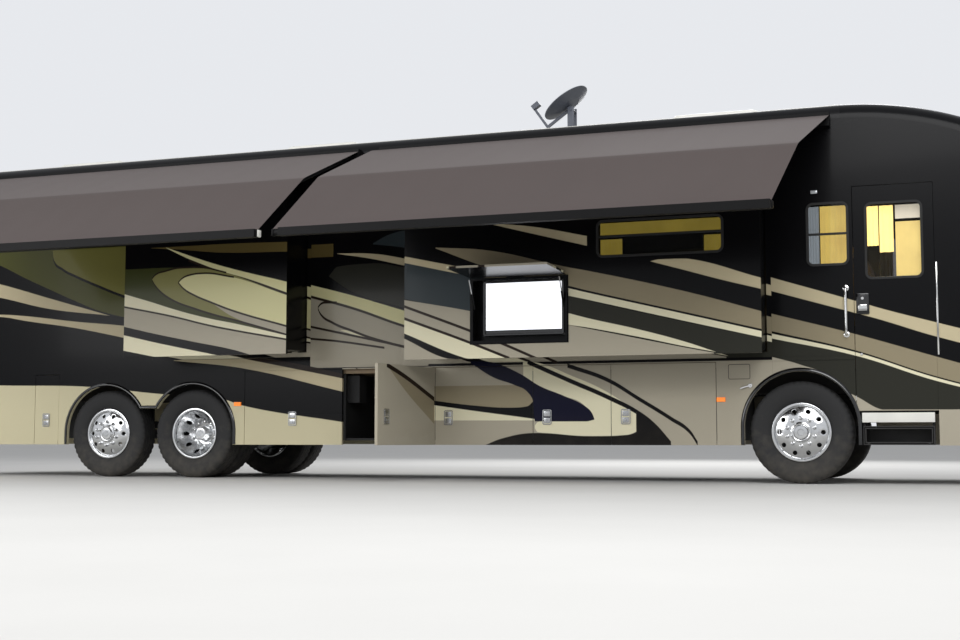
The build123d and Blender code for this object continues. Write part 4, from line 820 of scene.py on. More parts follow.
SKIRT = (
    Band(Paint.TAUPE, flat(1.26, -5.12, -0.27), flat(0.38, -5.12, -0.27)),
    Band(Paint.SAND, ((-10.85, 1.16), (-9.85, 1.127), (-8.5, 1.09), (-7.6, 1.0), (-6.7, 0.93),
          (-6.4, 0.845), (-5.12, 0.648)),
         flat(0.38, -10.85, -5.12)),
    Band(Paint.TAN, ((-7.35, 1.395), (-6.3, 1.395), (-5.12, 1.145)),
         ((-7.35, 1.39), (-6.4, 1.28), (-5.12, 0.995))),
    Band(Paint.BROWN, ((-6.4, 1.396), (-6.2, 1.395), (-5.53, 1.29), (-5.12, 1.195)),
         ((-6.4, 1.395), (-5.12, 1.145))),
    Band(Paint.CHAMPAGNE, ((-4.95, 1.24), (-4.6, 1.13), (-4.0, 0.90)),
         ((-4.95, 1.235), (-4.6, 0.98), (-4.0, 0.62))),
    line_band(Paint.BROWN, 0.05, (-4.95, 1.26), (-4.6, 1.15), (-4.0, 0.92)),
    Band(Paint.BLACK, ((-4.0, 0.955), (-3.5, 0.865), (-3.1, 0.82), (-2.9, 0.83), (-2.82, 0.9)),
         ((-4.0, 0.80), (-3.5, 0.74), (-3.1, 0.70), (-2.9, 0.67), (-2.82, 0.67))),
    Band(Paint.CREAM, ((-4.0, 0.83), (-3.5, 0.76), (-3.0, 0.695), (-2.75, 0.66)),
         ((-4.0, 0.66), (-2.75, 0.655))),
    Band(Paint.CHAMPAGNE, ((-4.0, 1.04), (-3.05, 1.04), (-2.9, 0.98), (-2.84, 0.87)),
         ((-4.0, 0.88), (-3.5, 0.82), (-3.1, 0.795), (-2.9, 0.81), (-2.84, 0.86))),
    Band(Paint.CREAM, ((-2.95, 1.30), (-2.75, 1.27), (-2.4, 1.13), (-2.1, 1.0), (-1.85, 0.85),
          (-1.70, 0.73), (-1.64, 0.60)),
         ((-2.95, 1.12), (-2.75, 1.02), (-2.5, 0.92), (-2.25, 0.80), (-2.16, 0.655), (-1.9, 0.49),
          (-1.70, 0.53), (-1.64, 0.59))),
    Band(Paint.CREAM, ((-2.82, 0.60), (-2.79, 0.635), (-2.7, 0.65), (-1.88, 0.66)),
         ((-2.82, 0.57), (-2.79, 0.53), (-2.2, 0.485), (-1.88, 0.485))),
    Band(Paint.NAVY, ((-3.56, 1.31), (-3.3, 1.29), (-3.0, 1.17), (-2.75, 1.02), (-2.5, 0.92),
          (-2.25, 0.80), (-2.18, 0.73), (-2.155, 0.67)),
         ((-3.56, 1.29), (-3.3, 1.13), (-3.05, 1.04), (-2.9, 0.96), (-2.84, 0.86), (-2.82, 0.645),
          (-2.25, 0.642), (-2.155, 0.66))),
    Band(Paint.BLACK, ((-1.70, 0.74), (-1.62, 0.70), (-1.5, 0.60), (-1.33, 0.40)),
         flat(0.38, -1.70, -1.33)),
    Band(Paint.BLACK, ((-3.4, 0.385), (-3.2, 0.46), (-2.8, 0.52), (-2.2, 0.485), (-1.9, 0.49),
          (-1.7, 0.53), (-1.64, 0.60)),
         flat(0.38, -3.4, -1.64)),
    line_band(Paint.BLACK, 0.05, (-2.9, 1.315), (-2.45, 1.115), (-2.0, 0.92), (-1.67, 0.75),
              (-1.5, 0.62), (-1.33, 0.43)),
    line_band(Paint.BLACK, 0.045, (-2.45, 1.265), (-2.0, 1.10), (-1.67, 0.90), (-1.33, 0.69),
              (-1.13, 0.55), (-1.05, 0.43)),
    Band(Paint.TAUPE, STEP_EDGE, flat(0.38, -0.27, 2.3)),
)
TV_SURROUND = (Band(Paint.BLACK, flat(2.14, -3.31, -2.23), flat(1.44, -3.31, -2.23)),)
LIVERY = REAR_WALL + REAR_SLIDE + MIDDLE_WALL + FRONT_SLIDE + FRONT_WALL + SKIRT


@dataclass(frozen=True)
class BodyPaint:
    """The body paint of one painted piece: gloss black with every band of the livery that reaches it.

    Attributes:
        name: the material's name.
        low: the lowest corner of the piece in the coach's own metres, as it lies in the pattern.
        high: its highest corner.
        origin: the move that puts the piece's points into the pattern.
        turn: the turn that goes before the move.
        top: the height that a band edge's curve calls 1.
        edge: how soft a band's edge is.
        dusty_below: the height under which road dust lies on the paint.
        plain_ends: whether only the faces along the coach carry the bands.
        dark_under: whether the faces that look down are black.
        bands: the livery's bands that this piece may carry.
    """

    name: str
    low: tuple[float, float]
    high: tuple[float, float]
    origin: Spot
    turn: Spot = (0.0, 0.0, 0.0)
    top: float = 3.6
    edge: float = 0.006
    dusty_below: float = 0.75
    plain_ends: bool = False
    dark_under: bool = False
    bands: tuple[Band, ...] = LIVERY

    def material(self) -> Any:
        """Builds the material: each band's mask is the product of one soft step per edge and per end."""
        graph = Graph(self.name)
        here = graph.place(self.origin, self.turn)
        x, _, z = graph.split(here)
        colour: Any = Paint.BLACK.value
        for band in self.bands:
            if self._reaches(band):
                colour = graph.mix(self._mask(graph, band, x, z), colour, band.paint.value)
        if self.plain_ends:
            facing = graph.math("ABSOLUTE", graph.split(graph.normal())[1])
            colour = graph.mix((facing - 0.7).step(0.02), Paint.BLACK.value, colour)
        if self.dark_under:
            under = (-0.5 - graph.split(graph.normal())[2]).step(0.02)
            colour = graph.mix(under, colour, Paint.BLACK.value)
        flake = graph.noise(here, 900.0, 1.0)
        dust = graph.noise(here, 5.0, 5.0)
        film = graph.math("MAXIMUM", (self.dusty_below - z) * 0.25, 0.0) * dust
        graph.set("Base Color", graph.mix(film, colour, ROAD_DUST))
        graph.set("Roughness", 0.24 + film * 0.8 + (flake - 0.5) * 0.06)
        graph.set("Specular IOR Level", 0.1)
        graph.set("Coat Weight", 0.04)
        graph.set("Coat Roughness", 0.08)
        graph.bump(graph.noise(here, 60.0, 1.0), 0.0002, 0.3)
        return graph.material

    def _reaches(self, band: Band) -> bool:
        """Whether any of a band lies inside the piece's box."""
        (x0, x1), (z0, z1) = band.x, band.z
        return x1 > self.low[0] and x0 < self.high[0] and z1 > self.low[1] and z0 < self.high[1]

    def _mask(self, graph: Graph, band: Band, x: Value, z: Value) -> Value:
        """One band's mask, 1 between its edges and 0 outside."""
        x0, x1 = band.x
        share = (x - x0) / (x1 - x0)
        upper, lower = (self._edge(graph, points, share, x0, x1) for points in (band.upper, band.lower))
        inside = (upper - z).step(self.edge) * (z - lower).step(self.edge)
        return inside * (x - x0).step(0.004) * (x1 - x).step(0.004)

    def _edge(self, graph: Graph, points: Sequence[Point], share: Value, x0: float, x1: float) -> Value:
        """The height of a band's edge along the coach, by a smooth curve through its points."""
        spots = [((x - x0) / (x1 - x0), z / self.top) for x, z in points]
        curve = graph.node("ShaderNodeFloatCurve", {"points": spots}, {"Factor": 1.0, "Value": share})
        return Value(graph, curve.outputs[0]) * self.top


@dataclass(frozen=True)
class DeckFinish(Finish):
    """The floor covering on the deck and the steps, and chassis black under them.

    Attributes:
        under: the colour below the covering.
        covered: the height in the shared frame above which the covering lies.
    """

    under: Colour = linear(26, 25, 25)
    covered: float = 0.735

    def paint(self, graph: Graph) -> None:
        """Adds the two colours, parted by height, and the covering's grain."""
        here = graph.place()
        top = (graph.split(here)[2] - self.covered).step(0.004)
        clouds = graph.noise(here, 9.0, 4.0)
        covering = graph.mix(clouds, shade(self.colour, 0.8), self.colour)
        graph.set("Base Color", graph.mix(top, self.under, covering))
        graph.set("Roughness", self.roughness + clouds * 0.2)
        graph.bump(graph.noise(here, 300.0, 2.0), 0.0004, 0.5)


@dataclass(frozen=True)
class LampPaint(Finish):
    """The lamp lenses: clear at the nose, red at the tail and amber between, with moulded ribs.

    Attributes:
        tail: the colour behind the coach's ends.
        ends: how far from the middle of the shared frame the clear and the red lenses begin.
    """

    tail: Colour = linear(150, 14, 12)
    ends: float = 5.5

    def paint(self, graph: Graph) -> None:
        """Adds the three colours, parted along the coach, and the lenses' upright ribs."""
        here = graph.place()
        x, y, _ = graph.split(here)
        nose, tail = (x - self.ends).step(0.01), (-self.ends - x).step(0.01)
        colour = graph.mix(nose, graph.mix(tail, self.colour, self.tail), CLEAR_LENS.colour)
        graph.set("Base Color", colour)
        graph.set("Roughness", 0.1 + (graph.noise(here, 40.0) - 0.5) * 0.04)
        graph.set("Coat Weight", 0.6)
        graph.set("Emission Color", colour)
        graph.set("Emission Strength", 0.35)
        graph.bump(graph.math("SINE", y * 420.0) * 0.5 + 0.5, 0.001, 0.6)


@dataclass(frozen=True)
class RoofPaint(Finish):
    """The roof: gloss black at its rounded edges and off-white on top.

    Attributes:
        pale: the colour of the top.
        start: the height at which it begins.
    """

    pale: Colour = linear(222, 220, 212)
    start: float = 3.872

    def paint(self, graph: Graph) -> None:
        """Adds the two colours, parted by height."""
        here = graph.place()
        top = (graph.split(here)[2] - self.start).step(0.006)
        clouds = graph.noise(here, 3.0, 5.0)
        white = graph.mix(clouds, shade(self.pale, 0.85), self.pale)
        graph.set("Base Color", graph.mix(top, self.colour, white))
        graph.set("Roughness", 0.3 + top * 0.2)
        graph.set("Specular IOR Level", 0.12)
        graph.set("Coat Weight", 0.05)
        graph.bump(clouds, 0.0004, 0.3)


DECK = DeckFinish("deck_finish", linear(126, 108, 84), 0.55)
LAMPS = LampPaint("lamp_lenses", linear(255, 138, 34))
ROOF = RoofPaint("roof_paint", Paint.BLACK.value)


# The workshop


class Workshop:
    """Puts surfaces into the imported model's frame and keeps where the coach stands in it."""

    def __init__(self) -> None:
        """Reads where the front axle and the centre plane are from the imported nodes."""
        (x0, _, _), (x1, _, _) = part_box("tyre_front_right")
        (_, right, _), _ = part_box("side_wall_right")
        _, (_, left, _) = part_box("side_wall_left")
        self.x = (x0 + x1) / 2
        self.y = (right + left) / 2

    def offset(self) -> Array:
        """The move from the coach's own metres to the shared frame."""
        return np.array([self.x, self.y, 0.0])

    def box(self, node: str) -> tuple[Array, Array]:
        """A node's lowest and highest corner in the coach's own metres."""
        low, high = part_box(node)
        return np.array(low) - self.offset(), np.array(high) - self.offset()

    def piece(
        self,
        name: str,
        shells: Sequence[Shell],
        finish: Any,
        body: str = "coach",
        angle: float = 35.0,
        uv: Array | None = None,
    ) -> Any:
        """Makes one piece from surfaces and rides it on a body.

        Args:
            name: the piece's name.
            shells: its surfaces, in the coach's own metres.
            finish: what gives its material.
            body: the body that it rides on.
            angle: the least angle in degrees between faces that stays a crisp edge.
            uv: one pair of numbers for each point, for a pattern that follows the surface.

        Returns:
            The new object.
        """
        starts = np.cumsum([0] + [len(shell.points) for shell in shells[:-1]])
        points = np.concatenate([shell.points for shell in shells]) + self.offset()
        faces = np.concatenate([shell.faces + start for shell, start in zip(shells, starts)])
        mesh = bpy.data.meshes.new(name)
        mesh.from_pydata(points.tolist(), [], faces.tolist())
        if uv is not None:
            layer = mesh.uv_layers.new(name="cloth")
            corners = np.empty(len(mesh.loops), np.int32)
            mesh.loops.foreach_get("vertex_index", corners)
            layer.data.foreach_set("uv", np.asarray(uv, np.float32)[corners].ravel())
        self._close(mesh)
        mesh.set_sharp_from_angle(angle=radians(angle))
        obj = bpy.data.objects.new(name, mesh)
        bpy.context.collection.objects.link(obj)
        mesh.materials.append(finish.material())
        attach(obj, body)
        log.info("%s: %d faces on %s", name, len(mesh.polygons), body)
        return obj

    @staticmethod
    def _close(mesh: Any) -> None:
        """Merges doubled points, drops faces without area and turns the rest outwards."""
        work = bmesh.new()
        work.from_mesh(mesh)
        bmesh.ops.remove_doubles(work, verts=work.verts, dist=1e-5)
        bmesh.ops.dissolve_degenerate(work, edges=work.edges, dist=1e-6)
        bmesh.ops.recalc_face_normals(work, faces=work.faces)
        work.to_mesh(mesh)
        work.free()
        mesh.polygons.foreach_set("use_smooth", [True] * len(mesh.polygons))

    def dress(self, node: str, finish: Any) -> None:
        """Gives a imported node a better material."""
        obj = bpy.data.objects[node]
        obj.data.materials.clear()
        obj.data.materials.append(finish.material())


# Sub-assemblies


@dataclass
class BodyShell:
    """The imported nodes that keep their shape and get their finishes, painted ones in the livery.

    Attributes:
        door_z: the lower and the upper edge of the luggage doors.
        hatch_angle: how far the television hatch stands open, in degrees.
        hatch_hinge: a point on its hinge line.
        hatch_low: its lower edge when shut.
        painted: the nodes in body paint, besides the luggage doors.
        slide_bands: the livery's bands on each slide-out.
        plain: the finishes of the other nodes.
    """

    door_z: Point = (0.38, 1.25)
    hatch_angle: float = 92.0
    hatch_hinge: Spot = (0.0, -1.988, 2.14)
    hatch_low: float = 1.45
    painted: tuple[str, ...] = (
        "side_wall_right", "side_wall_left", "front_cap", "rear_cap", "entry_door", "engine_door",
        "slide_rear_right", "slide_front_right", "slide_left", "tv_hatch",
    )
    slide_bands: dict[str, tuple[Band, ...]] = field(
        default_factory=lambda: {
            "slide_rear_right": REAR_SLIDE,
            "slide_front_right": FRONT_SLIDE + TV_SURROUND,
            "slide_left": REAR_SLIDE + MIDDLE_WALL + FRONT_SLIDE,
        }
    )
    plain: dict[str, Any] = field(
        default_factory=lambda: {
            "chassis_frame": CHASSIS, "floor_deck": DECK, "basement": BAY_LINER, "front_axle": CHASSIS,
            "drive_axle": CHASSIS, "tag_axle": CHASSIS, "engine": CASTING, "dashboard": DASH,
            "glazing": GLASS, "lamps": LAMPS, "awning_frames": BLACK_METAL, "roof_units": WHITE_COVER,
            "mirrors": BLACK_METAL, "steering_wheel": DASH, "entry_step": CHASSIS, "dish": DISH_GREY,
            "entry_door_glass": LIT_GLASS, "knuckle_left": CHASSIS, "knuckle_right": CHASSIS,
            "tie_rod": CHASSIS, "tv_screen": BLACK_GLOSS, "slide_front_right_glass": GLASS,
            "slide_left_glass": GLASS, "hatch_strut_cylinders": BLACK_METAL, "hatch_strut_rods": STEEL,
            "roof": ROOF,
        }
    )

    def dress(self, shop: Workshop, frame: dict[str, Any]) -> None:
        """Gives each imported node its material."""
        for node, finish in self.plain.items():
            shop.dress(node, finish)
        doors = [node for node in frame["nodes"] if node.startswith("bay_door")]
        for node in list(self.painted) + doors:
            shop.dress(node, self._paint(shop, node))
            log.info("%s painted", node)

    def _paint(self, shop: Workshop, node: str) -> BodyPaint:
        """The paint of one node, turned back about its hinge where the node stands open."""
        name = "paint_" + node
        low, high = shop.box(node)
        if node == OPEN_DOOR:
            origin, turn = self._laid_back(shop, "z", -OPEN_DOOR_ANGLE, (OPEN_DOOR_X[1], -WALL_Y, 0.0))
            low, high = zip(OPEN_DOOR_X, self.door_z)
            return BodyPaint(name, low, high, origin, turn)
        if node == "tv_hatch":
            origin, turn = self._laid_back(shop, "x", self.hatch_angle, self.hatch_hinge)
            low, high = (low[0], self.hatch_low), (high[0], self.hatch_hinge[2])
            return BodyPaint(name, low, high, origin, turn, dark_under=True)
        low, high, origin = (low[0], low[2]), (high[0], high[2]), tuple(-shop.offset())
        bands = self.slide_bands.get(node)
        if bands:
            return BodyPaint(name, low, high, origin, plain_ends=True, bands=bands)
        return BodyPaint(name, low, high, origin)

    @staticmethod
    def _laid_back(shop: Workshop, axis: str, degrees: float, hinge: Sequence[float]) -> tuple[Any, Any]:
        """Works out how an open piece's points go back into the pattern.

        Args:
            shop: the workshop.
            axis: the hinge's axis.
            degrees: the turn that shuts the piece.
            hinge: a point on the hinge line.

        Returns:
            The move and the turn of the piece's paint.
        """
        back, pin = radians(degrees), np.array(hinge)
        origin = pin - rotation(axis, back) @ (pin + shop.offset())
        return tuple(origin), tuple(back if a == axis else 0.0 for a in "xyz")


@dataclass
class Wheels:
    """Tyres with grooved treads, and polished forged rims with ten hand holes, nuts and a hub cover.

    Attributes:
        tyre_r: the radius over the tread.
        steps: the number of points round a tyre.
        groove: how deep the tread's grooves and the shoulders' notches are.
        rim_r: the radius over the rim's lips.
        dome: how far out a single wheel's disc is at its border, how much further at the hub, and the
            power of the curve between.
        dish: the same of a twin wheel's disc, whose hub lies further in.
        wheel_y: how far from the centre plane a wheel's middle is.
        twin_spacing: how far a twin's inner wheel stands behind the outer one.
        hole_circle: the radius at which the hand holes lie.
        hole_r: the radius of a hand hole.
        holes: the number of hand holes, and of nuts.
        nut_circle: the radius at which the nuts lie.
        lip_r: the radius of the disc's border.
        hub_r: the radius inside which the hub cover begins.
        axles: the single wheels' names and places.
    """

    tyre_r: float = 0.522
    steps: int = 144
    groove: Point = (0.013, 0.010)
    rim_r: float = 0.298
    dome: Spot = (0.098, 0.048, 0.8)
    dish: Spot = (0.060, -0.225, 0.9)
    wheel_y: float = 1.102
    twin_spacing: float = 0.34
    hole_circle: float = 0.218
    hole_r: float = 0.0235
    holes: int = 10
    nut_circle: float = 0.1429
    lip_r: float = 0.272
    hub_r: float = 0.105
    axles: tuple[tuple[str, float], ...] = (("front", 0.0), ("tag", TAG_X))

    def tyre(self) -> Shell:
        """One tyre about the y axis, with grooves round its tread and notches in its shoulders."""
        steps, (deep, notch) = self.steps, self.groove
        side = [(0.300, 0.105), (0.312, 0.118), (0.345, 0.132), (0.39, 0.143), (0.425, 0.146)]
        side.append((0.46, 0.1445))
        shoulder = [(0.485, 0.139), (0.498, 0.133), (0.507, 0.127), (0.515, 0.118), (0.5195, 0.108)]
        grooves = [0.100, 0.084, 0.0835, 0.0735, 0.073, 0.034, 0.0335, 0.0235, 0.023, 0.0]
        depth = [0, 0, deep, deep, 0, 0, deep, deep, 0, 0]
        crown = [(self.tyre_r - 0.003 * (y / 0.1) ** 2 - d, y) for y, d in zip(grooves, depth)]
        half = side + shoulder + crown
        profile = [(r, -y) for r, y in half] + [(r, y) for r, y in half[::-1]]
        points = turned_profile(profile, steps).points.reshape(len(profile), steps, 3)
        angle = np.linspace(0, 2 * pi, steps, endpoint=False)
        third = (np.mod(np.arange(steps), 3) == 0).astype(float)
        radius = np.hypot(points[:, :, 0], points[:, :, 2])
        on_shoulder = (np.abs(points[:, :, 1]) > 0.088) & (radius > 0.49)
        radius = radius - np.where(on_shoulder, notch, 0.0) * third[None, :]
        points[:, :, 0], points[:, :, 2] = radius * np.cos(angle), radius * np.sin(angle)
        return sheet_of(points, wrap_v=True)

    def disc_y(self, r: Array, bowed: bool) -> Array:
        """How far out the disc stands at a radius: a shallow dome, or a deep dish for the twins."""
        border, rise, power = self.dome if bowed else self.dish
        share = np.clip((self.lip_r - r) / (self.lip_r - self.hub_r), 0, 1)
        return border + rise * np.sin(share * pi / 2) ** power

    def disc(self, bowed: bool) -> list[Shell]:
        """The disc in ten equal sectors, each a grid of rays from its hand hole to its own border.

        Args:
            bowed: whether the disc is domed outwards.

        Returns:
            The surfaces about the y axis, with the hole's wall behind each hole.
        """
        half = pi / self.holes
        run = np.linspace(-1, 1, 9)[:-1]
        inner, outer = self.hub_r, self.lip_r
        middle, reach = (inner + outer) / 2, (outer - inner) / 2
        border_a = np.concatenate([run, np.ones(8), -run, -np.ones(8)]) * half
        border_r = middle + reach * np.concatenate([-np.ones(8), run, np.ones(8), -run])
        theta = np.arctan2(border_r - self.hole_circle, border_a * self.hole_circle)
        hole_r = self.hole_circle + self.hole_r * np.sin(theta)
        hole_a = self.hole_r * np.cos(theta) / self.hole_circle
        t = np.linspace(0, 1, 7)[:, None]
        r, a = hole_r + (border_r - hole_r) * t, hole_a + (border_a - hole_a) * t
        y = self.disc_y(r, bowed)
        r = np.concatenate([r[:1], r])
        a = np.concatenate([a[:1], a])
        y = np.concatenate([y[:1] - 0.02, y])
        y[1] -= 0.002
        shells = []
        for n in range(self.holes):
            turn = a + 2 * half * n
            grid = np.stack([r * np.cos(turn), y, r * np.sin(turn)], 2)
            shells.append(sheet_of(grid, wrap_v=True))
        return shells

    def rim(self, bowed: bool) -> list[Shell]:
        """One rim about the y axis: barrel, lips, disc, nuts and hub cover, outboard towards +y."""
        lip = self.lip_r
        root = float(self.disc_y(np.array([lip]), bowed)[0])
        barrel = [
            (lip, root), (lip + 0.003, 0.112), (0.279, 0.119), (0.288, 0.1205), (self.rim_r, 0.118),
            (self.rim_r, 0.108), (0.284, 0.104), (0.277, 0.09), (0.277, -0.09), (self.rim_r, -0.108),
            (self.rim_r, -0.118), (0.285, -0.12), (0.272, -0.11), (0.268, root - 0.02), (lip, root),
        ]
        parts = [turned_profile(barrel, 96)] + self.disc(bowed)
        base = float(self.disc_y(np.array([self.hub_r]), bowed)[0])
        spot_r = self.nut_circle
        spot_y = float(self.disc_y(np.array([spot_r]), bowed)[0])
        nut = [(0.0, 0.046), (0.010, 0.044), (0.0145, 0.036), (0.0165, 0.02), (0.0165, 0.006)]
        washer = [(0.021, 0.004), (0.021, -0.004)]
        for n in range(self.holes):
            turn = 2 * pi * (n + 0.5) / self.holes
            shell = turned_profile([(r, spot_y + h) for r, h in nut + washer], 12)
            parts.append(shell.moved(spot_r * cos(turn), 0.0, spot_r * sin(turn)))
        tall = 0.028 if bowed else 0.15
        cover = [
            (0.0, base + tall), (0.03, base + tall), (0.034, base + tall - 0.004),
            (0.045, base + tall - 0.004), (0.066, base + tall - 0.006), (0.078, base + tall - 0.02),
            (0.084, base + tall * 0.3), (0.09, base + 0.012), (0.104, base + 0.006),
            (self.hub_r + 0.004, base - 0.004), (0.05, base - 0.03), (0.0, base - 0.03),
        ]
        parts.append(turned_profile(cover, 48))
        return parts

    def build(self, shop: Workshop) -> None:
        """Makes every wheel's tyre and rim on its own body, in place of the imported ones."""
        tyre = self.tyre()
        for word in ("right", "left"):
            for axle, x in self.axles:
                body = f"wheel_{axle}_{word}"
                self._mount(shop, f"tyre_{axle}_{word}", [tyre], TYRE_BLACK, body, x)
                self._mount(shop, f"rim_{axle}_{word}", self.rim(True), POLISHED, body, x)
            body = f"wheels_drive_{word}"
            twins = [tyre, tyre.moved(0, -self.twin_spacing, 0)]
            self._mount(shop, f"tyres_drive_{word}", twins, TYRE_BLACK, body, DRIVE_X)
            outer = self.rim(False)
            barrel_and_disc = outer[: 1 + self.holes]
            inner = [s.scaled(y=-1).moved(0, -self.twin_spacing, 0) for s in barrel_and_disc]
            self._mount(shop, f"rims_drive_{word}", outer + inner, POLISHED, body, DRIVE_X)

    def _mount(
        self, shop: Workshop, node: str, shells: Sequence[Shell], finish: Any, body: str, x: float
    ) -> None:
        """Places one wheel part at its axle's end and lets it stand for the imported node.

        Args:
            shop: the workshop.
            node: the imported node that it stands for.
            shells: its surfaces about the y axis, outboard towards +y.
            finish: its finish.
            body: the wheel's body.
            x: where its axle is.
        """
        placed = []
        for shell in shells:
            if node.endswith("left"):
                placed.append(shell.moved(x, self.wheel_y, self.tyre_r))
            else:
                placed.append(shell.turned("z", pi).moved(x, -self.wheel_y, self.tyre_r))
        obj = shop.piece("dressed_" + node, placed, finish, body, 40.0)
        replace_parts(obj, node)


@dataclass
class Awnings:
    """Two patio awnings spread over the kerb side, each one taut sheet that bends at its rafters' knee.

    Attributes:
        line: the cloth's line at the wall, the knee and the rail, as distance from the wall and height.
        sheets: each sheet's name, its two ends, and how much shorter its lower edge is at the front.
        sag: how far the cloth sags between its ends.
        ripple: how high its ripples stand.
    """

    line: tuple[Point, ...] = ((0.09, 3.735), (1.43, 3.190), (2.40, 2.500))
    sheets: tuple[tuple[str, float, float, float], ...] = (
        ("rear", -10.10, -4.90, 0.0),
        ("front", -4.735, 0.355, 0.27),
    )
    sag: float = 0.009
    ripple: float = 0.0016

    def profile(self, count: int) -> Array:
        """Points down the cloth's line: the distance from the wall, the height and the length so far."""
        t, spots = np.linspace(0, 1, count), [0, self.knee(), 1]
        e, z = (np.interp(t, spots, values) for values in zip(*self.line))
        return np.stack([e, z, t * sum(self.runs())], 1)

    def runs(self) -> tuple[float, float]:
        """The lengths of the cloth's two straight runs, above and below the knee."""
        (e0, z0), (e1, z1), (e2, z2) = self.line
        return hypot(e1 - e0, z1 - z0), hypot(e2 - e1, z2 - z1)

    def knee(self) -> float:
        """How far along its line the cloth bends, as a share of its length."""
        first, second = self.runs()
        return first / (first + second)

    def build(self, shop: Workshop) -> None:
        """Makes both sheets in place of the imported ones."""
        line, knee = self.profile(48), self.knee()
        length = float(line[-1, 2])
        u, share = np.linspace(0, 1, 72)[:, None], (line[:, 2] / length)[None, :]
        fall = np.sin(pi * np.where(share < knee, share / knee, (share - knee) / (1 - knee)))
        sag = self.sag * np.sin(pi * u) * fall
        ripple = self.ripple * np.sin(u * 26 * pi) * fall
        for name, x0, x1, taper in self.sheets:
            x = x0 + (x1 - taper * share - x0) * u
            y = -(WALL_Y + line[None, :, 0]) + 0 * u
            z = line[None, :, 1] - sag + ripple
            uv = np.stack([x - x0, line[None, :, 2] + 0 * u], 2).reshape(-1, 2)
            cloth = sheet_of(np.stack([x, y, z], 2))
            obj = shop.piece(f"awning_sheet_{name}", [cloth], CANVAS, "coach", 60.0, uv)
            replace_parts(obj, "awning_fabric")
            self._rail(shop, name, x0, x1 - taper)

    def _rail(self, shop: Workshop, name: str, x0: float, x1: float) -> None:
        """Makes the rounded rail that the cloth's lower edge is rolled in, with a cap on each end."""
        reach, low = self.line[2]
        y = -(WALL_Y + reach)
        bar = rounded_block((x0, y - 0.012, low - 0.066), (x1, y + 0.072, low - 0.004), 0.026, 5)
        shop.piece(f"awning_rail_{name}", [bar], BLACK_METAL)
        caps = [
            rounded_block((x - 0.012, y - 0.014, low - 0.07), (x + 0.012, y + 0.05, low), 0.008)
            for x in (x0, x1)
        ]
        shop.piece(f"awning_caps_{name}", caps, WHITE_COVER if name == "rear" else BLACK_METAL)


@dataclass
class TvBay:
    """The television in the front slide-out: its bezel, and its lit picture between x and z."""

    x: Point = (-3.15, -2.32)
    z: Point = (1.59, 2.11)
    border: float = 0.012

    def build(self, shop: Workshop) -> None:
        """Makes the picture and the bezel round it."""
        low, high = shop.box("tv_screen")
        face, (x0, x1), (z0, z1) = low[1], self.x, self.z
        picture = rounded_block((x0, face - 0.004, z0), (x1, face + 0.004, z1), 0.003)
        shop.piece("tv_picture", [picture], PICTURE, "slide_front_right")
        x, z = ((low[n] + self.border, high[n] - self.border) for n in (0, 2))
        path = rounded_loop(x, z, face - 0.004, self.border)
        bezel = carried(bar_section(0.024, 0.024), path, (0, 1, 0), closed=True)
        shop.piece("tv_bezel", [bezel], BLACK_GLOSS, "slide_front_right")


def drape(x: Point, z: Point, y: float, folds: int, depth: float) -> tuple[Shell, float]:
    """A hanging cloth: a sine wave of folds across its width, a little deeper towards its hem.

    Args:
        x: where its two sides hang.
        z: its hem and its top.
        y: the plane that it hangs in.
        folds: the number of folds.
        depth: how far a fold stands out of the plane.

    Returns:
        The surface, and the width that the cloth was cut to.
    """
    u = np.linspace(0, 1, 12 * folds + 1)[:, None]
    v = np.linspace(0, 1, 7)[None, :]
    wave = depth * np.sin(2 * pi * folds * u)
    across, up = x[0] + (x[1] - x[0]) * u + 0 * v, z[0] + (z[1] - z[0]) * v + 0 * u
    points = np.stack([across, y + wave * (1.15 - 0.3 * v), up], 2)
    steps = np.hypot(np.diff(points[:, 3, 0]), np.diff(points[:, 3, 1]))
    return sheet_of(points), float(steps.sum())


@dataclass(frozen=True)
class Hanging:
    """One curtain, blind or shade behind a window.

    Attributes:
        x: where its two sides hang.
        z: its hem and its top.
        finish: its cloth.
        folds: the number of folds.
        depth: how far they stand out.
    """

    x: Point
    z: Point
    finish: Finish
    folds: int = 2
    depth: float = 0.002


@dataclass(frozen=True)
class Opening:
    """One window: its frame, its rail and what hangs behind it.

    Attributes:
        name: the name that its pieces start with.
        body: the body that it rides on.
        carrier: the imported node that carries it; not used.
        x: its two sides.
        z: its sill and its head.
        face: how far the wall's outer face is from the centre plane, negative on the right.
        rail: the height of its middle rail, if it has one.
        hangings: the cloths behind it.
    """

    name: str
    body: str
    carrier: str
    x: Point
    z: Point
    face: float
    rail: float | None = None
    hangings: tuple[Hanging, ...] = ()


